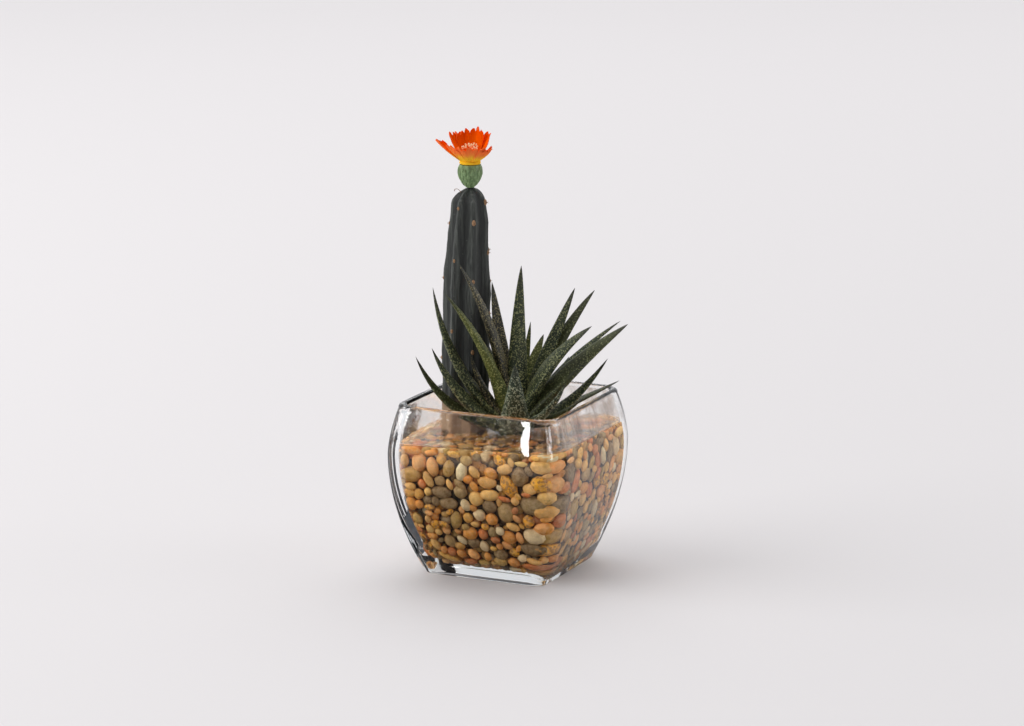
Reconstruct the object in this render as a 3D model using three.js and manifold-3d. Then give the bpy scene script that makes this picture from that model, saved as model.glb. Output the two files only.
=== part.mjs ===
// Glass bowl garden: a bulged square bowl of thick clear glass holds river pebbles
// set in clear casting resin. A ribbed column cactus with an orange flower and a
// spiky speckled rosette stand in it. Millimetres, +Z up, with the origin at the
// middle of the bowl's flat underside. The bowl's walls face along X and Y.
import * as THREE from 'three';
import { mergeVertices } from 'three/addons/utils/BufferGeometryUtils.js';
import Module from 'manifold-3d';

const wasm = await Module();
wasm.setup();

// ---------------------------------------------------------------- driving sizes
const GAP = 0.3;                 // clearance between pieces that touch

const BOWL_HEIGHT = 102;
const BASE_HALF = 39;            // half the width across the flats, at the table
const BULGE_HALF = 57;           // at the widest level
const BULGE_Z = 72;
const RIM_HALF = 50.5;
const LOWER_CURVE = 1.93;        // how fast the walls fall in below the bulge
const UPPER_CURVE = 1.6;         // and above it
const BASE_CORNER = 8;           // radius of the upright corners, at the table
const BULGE_CORNER = 15;         // at the widest level
const RIM_CORNER = 11;           // and at the rim
const LEAST_CORNER = 3.5;
const WALL = 4.3;                // glass thickness well above the floor
const HEEL = 9;                  // added thickness at the foot of the wall
const HEEL_FADE = 13;            // height over which that fades
const FLOOR_Z = 6;
const FLOOR_FILLET = 13;
const LIP = 1;                   // rounding of the rim and of the bottom edge
const CORNER_STEPS = 4;

const LEVEL_Z = 80.4;            // top of the resin, over the bowl's middle
const LEVEL_RISE = 0.035;        // it set a little aslant: its climb per mm to +X
const JACKET = 1.7;              // resin between the pebbles and the glass
const POCKET_DROP = 0.9;         // resin over the pebbles
const GRAVEL_DROP = 1.2;         // how far the highest pebble lies under the level
const CORE_DEPTH = 2.6;          // how deep the gravel's core lies under its outside
const STONE_THICKNESS = 0.8;     // of a stone against the wall, as a share of its width
const LOOSE_STONE = 6;           // half the length of the stones on top and on the floor
const STONE_PITCH = 15;
const FLOOR_REACH = 20;          // half the width of the patch of stones on the floor
const TOP_REACH = 38;            // and on top

const CACTUS_FOOT = [-28.4, 0.5, 34];
const CACTUS_TOP_Z = 223;
const CACTUS_LEAN = 3;           // how far its top stands to +X of its foot
const CACTUS_RADIUS = 14.6;
const CACTUS_RIBS = 7;
const RIB_DEPTH = 0.2;           // groove depth as a share of the radius
const TOP_NARROWING = 0.33;       // share of the radius lost by the top
const NARROWING_LENGTH = 65;
const DOME_HEIGHT = 9;
const AREOLE = 1.1;              // radius of the spine cushions on the crests
const AREOLES_PER_RIB = 5;
const AREOLES_FROM_Z = 98;
const AREOLES_TO_Z = 215;

const RECEPTACLE_RADIUS = 7.2;
const RECEPTACLE_HEIGHT = 13.4;
const RECEPTACLE_RIBS = 10;
const CUP_HEIGHT = 2.4;          // the solid heart that the petals grow from
const CUP_RADIUS = 6.3;
const PETAL_LENGTH = 19.5;
const PETAL_WIDTH = 12;
const PETAL_THICKNESS = 0.8;
const PETAL_ROOT = 2.2;          // how far a petal's root lies from the axis
const STAMEN_COUNT = 13;
const STAMEN_LENGTH = 7;         // of the shortest
const STAMEN_SEAT = 1.4;

const CROWN_AT = [4, -0.5];      // the rosette's axis
const CROWN_RADIUS = 8.5;
const CROWN_TOP_Z = 93;
const CROWN_FOOT_Z = 58;
const ROOT_Z = 84;               // where the lowest leaves leave the crown
const ROOT_REACH = 2;            // how far from the crown's axis a leaf starts
const ROOT_CLIMB = 5;            // how much higher an upright leaf starts

// ------------------------------------------------------------------- materials
const finish = (color, roughness, opacity = 1) => new THREE.MeshStandardMaterial({
  color, roughness, metalness: 0, opacity, transparent: opacity < 1,
});
const GLASS = finish(0xe6eeee, 0.03, 0.3);
const RESIN = finish(0xf4f2ea, 0.03, 0.3);
const GRAVEL = finish(0xb08a5c, 0.35);
const CACTUS = finish(0x2b3030, 0.6);
const SEPAL_GREEN = finish(0x6f9a62, 0.6);
const PETAL_ORANGE = finish(0xf05010, 0.55);
const STAMEN_CREAM = finish(0xf6dfa0, 0.6);
const CROWN_GREEN = finish(0x3c5a2e, 0.55);
const LEAF_COLOURS = {
  green: 0x35502f, lime: 0x5f7a34, brown: 0x4a4030, blue: 0x35594f, dark: 0x2c3626,
};

// ------------------------------------------------------------------ small tools
const garden = new THREE.Group();
const { degToRad } = THREE.MathUtils;
const UP = new THREE.Vector3(0, 0, 1);
const GOLDEN_ANGLE = degToRad(137.5);

function place(name, geometry, material) {
  geometry.computeVertexNormals();
  const mesh = new THREE.Mesh(geometry, material);
  mesh.name = name;
  garden.add(mesh);
  return mesh;
}

// A repeatable run of numbers from 0 to 1 for a given seed.
function dice(seed) {
  let state = seed;
  return () => {
    state = (state * 1664525 + 1013904223) % 4294967296;
    return state / 4294967296;
  };
}

// Joins rings of equal count into one closed skin, with a fan over each end ring.
// The rings run anticlockwise seen from the end that they climb to.
function skin(rings) {
  const count = rings[0].length;
  const points = rings.flat();
  const faces = [];
  for (let row = 0; row + 1 < rings.length; row += 1) {
    for (let i = 0; i < count; i += 1) {
      const a = row * count + i;
      const b = row * count + (i + 1) % count;
      faces.push(a, b, b + count, a, b + count, a + count);
    }
  }
  const middle = (ring) => ring.reduce((sum, p) => sum.add(p), new THREE.Vector3())
    .divideScalar(count);
  const last = (rings.length - 1) * count;
  points.push(middle(rings[0]), middle(rings.at(-1)));
  for (let i = 0; i < count; i += 1) {
    const next = (i + 1) % count;
    faces.push(points.length - 2, next, i);
    faces.push(points.length - 1, last + i, last + next);
  }
  const geometry = new THREE.BufferGeometry().setFromPoints(points);
  geometry.setIndex(faces);
  return geometry;
}

function toSolid(geometry) {
  const bare = geometry.clone();
  bare.deleteAttribute('normal');
  bare.deleteAttribute('uv');
  const merged = mergeVertices(bare, 1e-4);
  return new wasm.Manifold(new wasm.Mesh({
    numProp: 3,
    vertProperties: new Float32Array(merged.attributes.position.array),
    triVerts: new Uint32Array(merged.index.array),
  }));
}

function toGeometry(solid) {
  const mesh = solid.getMesh();
  const geometry = new THREE.BufferGeometry();
  geometry.setAttribute('position', new THREE.BufferAttribute(mesh.vertProperties, 3));
  geometry.setIndex(new THREE.BufferAttribute(mesh.triVerts, 1));
  return geometry;
}

// The biggest body of a solid, which drops the scraps that a cut leaves.
const biggest = (solid) => solid.decompose()
  .reduce((best, body) => (body.volume() > best.volume() ? body : best));

// ------------------------------------------------------------------- glass bowl
// A square with round corners, anticlockwise seen from above.
function squareRing(half, corner, z) {
  const ring = [];
  for (let quarter = 0; quarter < 4; quarter += 1) {
    for (let step = 0; step <= CORNER_STEPS; step += 1) {
      const turn = (quarter + step / CORNER_STEPS) * Math.PI / 2;
      const side = quarter * Math.PI / 2 + Math.PI / 4;
      const reach = (half - corner) * Math.SQRT2;
      ring.push(new THREE.Vector3(
        reach * Math.cos(side) + corner * Math.cos(turn),
        reach * Math.sin(side) + corner * Math.sin(turn),
        z,
      ));
    }
  }
  return ring;
}

function outerHalf(z) {
  if (z <= BULGE_Z) {
    return BULGE_HALF - (BULGE_HALF - BASE_HALF) * (1 - z / BULGE_Z) ** LOWER_CURVE;
  }
  const rise = (z - BULGE_Z) / (BOWL_HEIGHT - BULGE_Z);
  return BULGE_HALF - (BULGE_HALF - RIM_HALF) * rise ** UPPER_CURVE;
}

function outerCorner(z) {
  const below = z <= BULGE_Z;
  const share = below ? z / BULGE_Z : (BOWL_HEIGHT - z) / (BOWL_HEIGHT - BULGE_Z);
  const end = below ? BASE_CORNER : RIM_CORNER;
  return end + (BULGE_CORNER - end) * Math.sin(share * Math.PI / 2);
}

const wallAt = (z) => WALL + HEEL * Math.exp(-z / HEEL_FADE);

const SPRING_Z = FLOOR_Z + FLOOR_FILLET;
const SPRING_HALF = outerHalf(SPRING_Z) - wallAt(SPRING_Z);

function cavityCorner(z, inset) {
  return Math.max(outerCorner(z) - wallAt(z) * 0.5 - inset, LEAST_CORNER);
}

// The cavity's wall, moved inwards by inset, from the floor up to top.
function cavityRings(inset, top, rows) {
  const rings = [];
  const ringAt = (half, z) => squareRing(half - inset, cavityCorner(z, inset), z);
  for (let step = 0; step < 3; step += 1) {
    const turn = step * Math.PI / 6;
    const half = SPRING_HALF - FLOOR_FILLET * (1 - Math.sin(turn));
    const drop = (FLOOR_FILLET - inset) * Math.cos(turn);
    rings.push(ringAt(half, SPRING_Z - drop));
  }
  for (let row = 0; row <= rows; row += 1) {
    const z = SPRING_Z + (top - SPRING_Z) * row / rows;
    rings.push(ringAt(outerHalf(z) - wallAt(z), z));
  }
  return rings;
}

function makeBowl() {
  const rings = [squareRing(BASE_HALF - LIP, BASE_CORNER, 0)];
  const rows = 10;
  for (let row = 0; row <= rows; row += 1) {
    const z = LIP + (BOWL_HEIGHT - 2 * LIP) * row / rows;
    rings.push(squareRing(outerHalf(z), outerCorner(z), z));
  }
  rings.push(squareRing(RIM_HALF - LIP, RIM_CORNER, BOWL_HEIGHT));
  const inside = cavityRings(0, BOWL_HEIGHT - LIP, 8);
  const lipHalf = outerHalf(BOWL_HEIGHT) - wallAt(BOWL_HEIGHT) + LIP;
  rings.push(squareRing(lipHalf, RIM_CORNER - WALL / 2, BOWL_HEIGHT), ...inside.reverse());
  return skin(rings);
}

// ----------------------------------------------------------------------- cactus
// Radius of the column at height z: it narrows slowly upwards to a blunt dome.
function cactusRadius(z) {
  const down = CACTUS_TOP_Z - z;
  const slow = 1 - TOP_NARROWING * Math.max(0, 1 - down / NARROWING_LENGTH) ** 1.5;
  const dome = Math.sqrt(1 - Math.max(0, 1 - down / DOME_HEIGHT) ** 2);
  return CACTUS_RADIUS * slow * Math.max(dome, 0.25);
}

function cactusAxis(z) {
  const share = (z - CACTUS_FOOT[2]) / (CACTUS_TOP_Z - CACTUS_FOOT[2]);
  return [CACTUS_FOOT[0] + CACTUS_LEAN * share ** 2, CACTUS_FOOT[1] + share / 2];
}

// A point of the ribbed wall, with turn in ribs from the first rib's crest.
function cactusPoint(turn, z, grow) {
  const angle = turn * 2 * Math.PI / CACTUS_RIBS;
  const groove = RIB_DEPTH * Math.abs(Math.sin(turn * Math.PI)) ** 1.6;
  const radius = cactusRadius(z) * (1 - groove) + grow;
  const [x, y] = cactusAxis(z);
  return new THREE.Vector3(x + radius * Math.cos(angle), y + radius * Math.sin(angle), z);
}

function cactusColumn(grow) {
  const perRib = 4;
  const levels = [0, 0.3, 0.6, 0.74, 0.83, 0.9, 0.95, 0.968, 0.985, 0.995, 1];
  const height = CACTUS_TOP_Z - CACTUS_FOOT[2];
  const rings = levels.map((share) => {
    const ring = [];
    for (let i = 0; i < CACTUS_RIBS * perRib; i += 1) {
      ring.push(cactusPoint(i / perRib, CACTUS_FOOT[2] + height * share, grow));
    }
    return ring;
  });
  return skin(rings);
}

function makeCactus() {
  let body = toSolid(cactusColumn(0));
  const random = dice(7);
  const spacing = (AREOLES_TO_Z - AREOLES_FROM_Z) / AREOLES_PER_RIB;
  for (let rib = 0; rib < CACTUS_RIBS; rib += 1) {
    for (let row = 0; row < AREOLES_PER_RIB; row += 1) {
      const z = AREOLES_FROM_Z + (row + random() * 0.6) * spacing;
      const at = cactusPoint(rib, z, 0);
      const bump = new THREE.OctahedronGeometry(AREOLE);
      bump.scale(1, 1, 1.5);
      bump.rotateZ(rib * 2 * Math.PI / CACTUS_RIBS);
      bump.translate(at.x, at.y, at.z);
      body = body.add(toSolid(bump));
    }
  }
  return toGeometry(biggest(body));
}

// ----------------------------------------------------------------------- flower
const [BLOOM_X, BLOOM_Y] = cactusAxis(CACTUS_TOP_Z);
const BLOOM_Z = CACTUS_TOP_Z + GAP + RECEPTACLE_HEIGHT;

function makeReceptacle() {
  const rings = [];
  const rows = 7;
  for (let row = 0; row <= rows; row += 1) {
    const rise = row / rows;
    const belly = Math.sin(Math.PI * (0.1 + 0.58 * rise)) ** 0.9;
    const ring = [];
    for (let i = 0; i < RECEPTACLE_RIBS * 2; i += 1) {
      const angle = i * Math.PI / RECEPTACLE_RIBS;
      const radius = RECEPTACLE_RADIUS * belly * (i % 2 ? 0.93 : 1);
      ring.push(new THREE.Vector3(
        BLOOM_X + radius * Math.cos(angle),
        BLOOM_Y + radius * Math.sin(angle),
        CACTUS_TOP_Z + GAP + RECEPTACLE_HEIGHT * rise,
      ));
    }
    rings.push(ring);
  }
  return skin(rings);
}

// One petal: a curved blade that widens to a frayed tip. Heading turns it round the
// flower and lean is its slope from upright, both in degrees. Its two faces are
// split into like triangles.
function petalSolid(headingDegrees, leanDegrees, length, random) {
  const heading = degToRad(headingDegrees);
  const lean = degToRad(leanDegrees);
  const across = 4;
  const along = 3;
  const fray = Array.from({ length: across + 1 }, (_, i) => (
    (i % 2 ? 0.06 : -0.07) + (random() - 0.5) * 0.09
  ));
  const points = [];
  for (const face of [-0.5, 0.5]) {
    for (let row = 0; row <= along; row += 1) {
      for (let i = 0; i <= across; i += 1) {
        const side = i / across * 2 - 1;
        const round = 1 - 0.16 * side * side;
        const reach = (row / along) * length * (round + (row === along ? fray[i] : 0));
        const half = PETAL_WIDTH / 2 * (0.42 + 0.58 * Math.sin(Math.PI / 2 * row / along));
        const open = lean * (1.12 - 0.2 * row / along);
        const lift = face * PETAL_THICKNESS - 0.16 * half * side * side;
        const out = PETAL_ROOT + reach * Math.sin(open) + lift * Math.cos(open);
        const up = reach * Math.cos(open) - lift * Math.sin(open);
        const point = new THREE.Vector3(out, side * half, up);
        points.push(point.applyAxisAngle(UP, heading));
      }
    }
  }
  const faces = [];
  const count = across + 1;
  const half = count * (along + 1);
  const quad = (a, b, c, d) => faces.push(a, b, c, a, c, d);
  for (let row = 0; row < along; row += 1) {
    for (let i = 0; i < across; i += 1) {
      const a = row * count + i;
      quad(a, a + count, a + count + 1, a + 1);
      faces.push(half + a, half + a + count + 1, half + a + count);
      faces.push(half + a, half + a + 1, half + a + count + 1);
    }
    const left = row * count;
    const right = left + across;
    quad(left, half + left, half + left + count, left + count);
    quad(right, right + count, half + right + count, half + right);
  }
  for (let i = 0; i < across; i += 1) {
    const tip = along * count + i;
    quad(i, i + 1, half + i + 1, half + i);
    quad(tip + 1, tip, half + tip, half + tip + 1);
  }
  const geometry = new THREE.BufferGeometry().setFromPoints(points);
  geometry.setIndex(faces);
  geometry.translate(BLOOM_X, BLOOM_Y, BLOOM_Z + GAP);
  return toSolid(geometry);
}

function makePetals() {
  const cup = new THREE.CylinderGeometry(CUP_RADIUS - 1, CUP_RADIUS, CUP_HEIGHT, 14);
  cup.rotateX(Math.PI / 2);
  cup.translate(BLOOM_X, BLOOM_Y, BLOOM_Z + GAP + CUP_HEIGHT / 2);
  let bloom = toSolid(cup);
  const random = dice(21);
  // Heading in degrees, lean in degrees and length as a share of the full petal.
  const petals = [
    [200, 56, 1.15], [165, 32, 1.08], [135, 26, 1.05], [95, 22, 1.12], [55, 34, 1],
    [20, 52, 0.74], [345, 55, 0.75], [318, 50, 0.8], [272, 50, 0.8], [235, 50, 0.85],
  ];
  for (const [heading, lean, share] of petals) {
    bloom = bloom.add(petalSolid(heading, lean, PETAL_LENGTH * share, random));
  }
  return toGeometry(biggest(bloom));
}

function makeStamens() {
  const seatZ = BLOOM_Z + GAP + CUP_HEIGHT + GAP;
  const seat = new THREE.CylinderGeometry(1.6, 1.6, STAMEN_SEAT, 8);
  seat.rotateX(Math.PI / 2);
  seat.translate(BLOOM_X, BLOOM_Y, seatZ + STAMEN_SEAT / 2);
  let tuft = toSolid(seat);
  const random = dice(5);
  for (let i = 0; i < STAMEN_COUNT; i += 1) {
    const length = STAMEN_LENGTH * (1 + 0.5 * random());
    const thread = new THREE.CylinderGeometry(0.55, 0.4, length, 3);
    thread.rotateX(Math.PI / 2);
    thread.translate(0, 0, length / 2);
    thread.rotateY(0.08 + 0.26 * random());
    thread.rotateZ(i * GOLDEN_ANGLE);
    thread.translate(BLOOM_X, BLOOM_Y, seatZ + 0.4);
    tuft = tuft.add(toSolid(thread));
  }
  return tuft;
}

// ---------------------------------------------------------------------- rosette
function crownSolid(grow) {
  const profile = [
    [0, CROWN_FOOT_Z - grow], [4, CROWN_FOOT_Z + 3], [CROWN_RADIUS - 1, 70],
    [CROWN_RADIUS, 80], [CROWN_RADIUS - 1.5, 87], [3.5, CROWN_TOP_Z - 1.5],
    [0, CROWN_TOP_Z + grow],
  ].map(([radius, z]) => new THREE.Vector2(radius ? radius + grow : 0, z));
  const crown = new THREE.LatheGeometry(profile, 16);
  crown.rotateX(Math.PI / 2);
  crown.translate(CROWN_AT[0], CROWN_AT[1], 0);
  return toSolid(crown);
}

// Each leaf: heading in degrees round the crown, reach of its tip out from the
// crown's axis, rise of its tip over the lowest roots, where its axis bends, as
// shares of reach and rise, its greatest width, its roll in degrees, and its colour.
const LEAVES = [
  ['front', 295, 38, 45, 0.7, 0.25, 14, 0, 'blue'],
  ['front_right_small', 336, 44, 33, 0.65, 0.3, 10, 20, 'blue'],
  ['front_left_tall', 236, 47, 84, 0.25, 0.55, 13, -25, 'lime'],
  ['middle_tall', 350, 4.5, 96, 0.2, 0.5, 10, -55, 'green'],
  ['right_long', 16, 66, 63, 0.4, 0.55, 15, 30, 'dark'],
  ['right_speckled', 5, 47, 63, 0.25, 0.6, 14, 35, 'green'],
  ['left_tall_brown', 222, 34, 99, 0.15, 0.55, 12, -30, 'brown'],
  ['left_tall', 214, 48, 84, 0.8, 0.35, 10, -30, 'green'],
  ['left_low', 228, 52, 51, 0.65, 0.25, 11.5, -35, 'green'],
  ['left_lowest', 212, 58, 43, 0.7, 0.1, 8, -35, 'dark'],
  ['right_low', 22, 54, 41, 0.55, 0.15, 8.5, 30, 'green'],
  ['left_upright', 188, 14, 85, 0.6, 0.55, 9.5, -45, 'brown'],
  ['back_right_tall', 44, 37, 80, 0.6, 0.6, 9, 35, 'green'],
  ['back_right_leaning', 43, 49, 78, 0.5, 0.65, 9, 35, 'dark'],
  ['left_short_dark', 220, 27, 46, 0.75, 0.45, 9, -20, 'brown'],
  ['back_short', 83, 32, 49, 0.5, 0.65, 9, 20, 'lime'],
  ['back_slim', 95, 27, 57, 0.6, 0.5, 6, 0, 'lime'],
  ['back_inner', 104, 27, 59, 0.4, 0.5, 7, 0, 'green'],
  ['back_right_slim', 37, 63, 60, 0.4, 0.6, 7, 25, 'green'],
  ['back_right_lowest', 38, 63, 24, 0.55, 0.5, 6, 15, 'dark'],
  ['back_low', 116, 48, 32, 0.6, 0.3, 9, 0, 'green'],
  ['back_left', 140, 38, 42, 0.55, 0.35, 9, -15, 'green'],
  ['back_right_low', 72, 47, 34, 0.55, 0.3, 9, 10, 'blue'],
  ['right_under', 352, 46, 22, 0.6, 0.3, 8, 20, 'dark'],
];

const LEAF_STEPS = [0, 0.16, 0.34, 0.52, 0.69, 0.83, 0.94, 1];
const LEAF_SECTION = [
  [-0.5, 0], [-0.2, -0.32], [0.2, -0.32], [0.5, 0], [0, 0.12],
];

// A lance-shaped leaf: nearly flat above, keeled below, bent along a smooth curve.
function leafSolid(heading, reach, rise, bendOut, bendUp, width, roll, grow) {
  const turn = degToRad(heading);
  const outward = new THREE.Vector3(Math.cos(turn), Math.sin(turn), 0);
  const sideways = new THREE.Vector3(-Math.sin(turn), Math.cos(turn), 0);
  const upright = 1 - Math.min(reach / rise, 1);
  const at = (out, z) => new THREE.Vector3(CROWN_AT[0], CROWN_AT[1], z)
    .addScaledVector(outward, out);
  const root = at(ROOT_REACH, ROOT_Z + ROOT_CLIMB * upright);
  const bend = at(reach * bendOut, ROOT_Z + rise * bendUp);
  const tip = at(reach, ROOT_Z + rise);
  const axis = new THREE.QuadraticBezierCurve3(root, bend, tip);
  const rings = [];
  for (const share of LEAF_STEPS) {
    const centre = axis.getPoint(share);
    const along = axis.getTangent(share);
    const across = sideways.clone()
      .applyAxisAngle(along, degToRad(roll) * Math.min(share * 2, 1));
    const upper = new THREE.Vector3().crossVectors(along, across);
    const taper = Math.max((1 - share ** 2.4) ** 0.6, 0.04);
    const flare = 1 + 0.25 * (1 - share) ** 3;
    const size = width * taper * flare;
    rings.push(LEAF_SECTION.map(([side, height]) => {
      const offset = new THREE.Vector2(side * size, height * size);
      offset.addScaledVector(offset.clone().normalize(), grow);
      return centre.clone().addScaledVector(across, offset.x)
        .addScaledVector(upper, offset.y);
    }));
  }
  return toSolid(skin(rings));
}

function makeLeaves(column, crown) {
  const taken = [column, crown];
  for (const [name, ...rest] of LEAVES) {
    const colour = rest.pop();
    let leaf = leafSolid(...rest, 0);
    for (const other of taken) {
      leaf = leaf.subtract(other);
    }
    place(`leaf_${name}`, toGeometry(biggest(leaf)), finish(LEAF_COLOURS[colour], 0.5));
    taken.push(leafSolid(...rest, GAP));
  }
}

// ----------------------------------------------------------- gravel and casting
// The larger stones that lie against a wall: how far along it from its middle, height,
// half length, half width, and the turn in degrees from level.
const STONES = [
  [50.4, 80.1, 5.1, 3.4, 11], [-38.3, 76.4, 6.8, 2.5, -7], [43.6, 74.5, 5.5, 3.9, -7],
  [21.2, 71.2, 5.1, 3.1, 13], [-33.8, 69.2, 5.5, 4.8, 79], [-14.6, 67.8, 5.2, 3.7, 74],
  [-24.9, 67.7, 5.7, 3.9, -74], [30.2, 67.4, 5.6, 5.5, 90], [-6.3, 66.7, 5.7, 3.6, 77],
  [42.9, 64.1, 4.9, 5.1, 14], [9.8, 62.4, 6.2, 3.7, 0], [-39.1, 61.7, 7.2, 4.9, 9],
  [23.3, 61.2, 7.6, 4.7, -56], [-27.7, 60.2, 5.4, 2.8, -60], [48.8, 56.4, 4.3, 4.3, 0],
  [11.1, 54.8, 6.5, 3.6, 4], [-7.6, 54.7, 4.5, 3.9, 0], [-19.8, 53, 6.5, 3.9, 0],
  [2.2, 51.5, 4.6, 4.7, 90], [36.7, 51.1, 7.6, 6, 0], [10.5, 47.8, 4.8, 4, 0],
  [45, 47.8, 5.5, 4.4, -12], [-15.8, 46.7, 6.1, 4, 0], [20.7, 45, 6.5, 5.9, 90],
  [-41, 43.8, 4.4, 3.9, 90], [3.5, 41.7, 4, 3.8, 0], [11.1, 39.9, 4, 3.8, 0],
  [43.2, 37.1, 4.1, 4.2, 10], [-11.9, 36.9, 5.9, 3.8, 80], [35.6, 31.8, 6, 5.4, 0],
  [20.8, 29.4, 4.9, 4.3, -20], [-4, 29, 5, 4.2, 30], [-2.6, 23.2, 4.2, 3.8, 0],
  [33.4, 23.2, 7.2, 4.2, 0], [-17.9, 22.4, 4.6, 3.9, -60], [13.5, 18.5, 4.6, 3.9, 0],
  [33.8, 11.7, 7.7, 2.4, 0], [-20.2, 11.5, 7.1, 2.4, -25],
];

// Everything that lies more than a drop under the resin's level.
function underLevel(drop) {
  const block = new THREE.BoxGeometry(160, 160, 120);
  block.translate(0, 0, -60);
  block.rotateY(-Math.atan(LEVEL_RISE));
  block.translate(0, 0, LEVEL_Z - drop);
  return toSolid(block);
}

// Half the gravel's width at a height.
function bedHalf(z, inset) {
  if (z >= SPRING_Z) {
    return outerHalf(z) - wallAt(z) - inset;
  }
  const fall = Math.min((SPRING_Z - z) / (FLOOR_FILLET - inset), 1);
  return SPRING_HALF - FLOOR_FILLET * (1 - Math.sqrt(1 - fall * fall)) - inset;
}

// A place on the gravel's outside behind the -Y wall, so far along from its middle and
// round the corner from there, with the way out of it.
function bedPlace(along, z, inset) {
  const half = bedHalf(z, inset);
  const corner = cavityCorner(z, inset);
  const flat = half - corner;
  const turn = Math.min(Math.max(Math.abs(along) - flat, 0) / corner, Math.PI / 4);
  const way = Math.sign(along);
  const x = turn > 0 ? way * (flat + corner * Math.sin(turn)) : along;
  const y = -flat - corner * Math.cos(turn);
  const slope = (bedHalf(z + 1, inset) - bedHalf(z - 1, inset)) / 2;
  const out = new THREE.Vector3(way * Math.sin(turn), -Math.cos(turn), -slope).normalize();
  return { spot: new THREE.Vector3(x, y, z), out };
}

// A stone that lies flat against one of the four walls. Every second wall is mirrored.
function wallStone(side, along, z, long, wide, turnDegrees) {
  const mirror = side % 2 ? -1 : 1;
  const { spot, out } = bedPlace(along * mirror, z, JACKET + 2 * GAP);
  const across = new THREE.Vector3().crossVectors(UP, out).normalize();
  const climb = new THREE.Vector3().crossVectors(out, across);
  const turn = turnDegrees * mirror * Math.PI / 180;
  const length = across.multiplyScalar(Math.cos(turn)).addScaledVector(climb, Math.sin(turn));
  const width = new THREE.Vector3().crossVectors(out, length);
  const deep = wide * STONE_THICKNESS;
  const stone = new THREE.IcosahedronGeometry(1);
  stone.scale(long, wide, deep);
  stone.applyMatrix4(new THREE.Matrix4().makeBasis(length, width, out));
  spot.addScaledVector(out, -deep);
  stone.translate(spot.x, spot.y, spot.z);
  stone.rotateZ(side * Math.PI / 2);
  return toSolid(stone);
}

// A stone turned and stretched at random about its middle.
function looseStone(x, y, z, random) {
  const stone = new THREE.IcosahedronGeometry(LOOSE_STONE);
  stone.scale(0.85 + 0.15 * random(), 0.75 + 0.2 * random(), 0.65 + 0.2 * random());
  stone.rotateX(random() * Math.PI);
  stone.rotateZ(random() * Math.PI);
  stone.translate(x, y, z);
  return toSolid(stone);
}

// Stones in jittered rows on the bowl's floor and on top of the gravel.
function looseStones(random) {
  const stones = [];
  const jitter = () => (random() - 0.5) * STONE_PITCH * 0.3;
  const sink = LOOSE_STONE * 0.75;
  for (const [reach, onTop] of [[FLOOR_REACH, false], [TOP_REACH, true]]) {
    const count = Math.round(2 * reach / STONE_PITCH);
    for (let i = 0; i <= count; i += 1) {
      for (let j = 0; j <= count; j += 1) {
        const x = (i / count * 2 - 1) * reach + jitter();
        const y = (j / count * 2 - 1) * reach + jitter();
        const top = LEVEL_Z + LEVEL_RISE * x - GRAVEL_DROP - sink;
        stones.push(looseStone(x, y, onTop ? top : FLOOR_Z + JACKET + 2 * GAP + sink, random));
      }
    }
  }
  return stones;
}

function makeGravel(column, crown) {
  const inset = JACKET + 2 * GAP;
  const under = underLevel(GRAVEL_DROP);
  let bed = toSolid(skin(cavityRings(inset + CORE_DEPTH, LEVEL_Z, 5)));
  bed = bed.intersect(underLevel(GRAVEL_DROP + CORE_DEPTH));
  for (let side = 0; side < 4; side += 1) {
    for (const stone of STONES) {
      bed = bed.add(wallStone(side, ...stone));
    }
  }
  for (const stone of looseStones(dice(11))) {
    bed = bed.add(stone);
  }
  const pocket = toSolid(skin(cavityRings(inset, LEVEL_Z + LIP, 6))).intersect(under);
  return toGeometry(biggest(bed.intersect(pocket).subtract(column).subtract(crown)));
}

function makeFill(column, crown) {
  const top = LEVEL_Z + 3;
  const block = toSolid(skin(cavityRings(GAP, top, 6))).intersect(underLevel(0));
  const pocket = toSolid(skin(cavityRings(GAP + JACKET, top, 6)));
  const hollow = pocket.intersect(underLevel(POCKET_DROP));
  return toGeometry(biggest(block.subtract(hollow).subtract(column).subtract(crown)));
}

// --------------------------------------------------------------------- assembly
const columnSpace = toSolid(cactusColumn(GAP));
const crownSpace = crownSolid(GAP);

place('glass_bowl', makeBowl(), GLASS);
place('clear_fill', makeFill(columnSpace, crownSpace), RESIN);
place('gravel_bed', makeGravel(columnSpace, crownSpace), GRAVEL);
place('cactus_column', makeCactus(), CACTUS);
place('flower_receptacle', makeReceptacle(), SEPAL_GREEN);
place('flower_petals', makePetals(), PETAL_ORANGE);
place('flower_stamens', toGeometry(makeStamens()), STAMEN_CREAM);
place('rosette_crown', toGeometry(crownSolid(0)), CROWN_GREEN);
makeLeaves(toSolid(cactusColumn(AREOLE + GAP)), crownSpace);

export default garden;
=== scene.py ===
"""Glass bowl garden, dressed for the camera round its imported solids.

A bulged square bowl of thick clear glass holds river pebbles set in clear resin.
A ribbed column cactus with an orange flower and a spiky speckled rosette stand in
it. Sizes are in millimetres here and become metres as each piece is made. The
origin is the middle of the bowl's flat underside, +Z is up, and the bowl's walls
face along X and Y.
"""

import logging
import math
import random
from collections.abc import Callable, Iterator, Sequence
from contextlib import contextmanager
from dataclasses import dataclass
from enum import Enum
from functools import cache

import bmesh
import bpy
import numpy as np
from mathutils import Matrix, Vector

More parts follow.
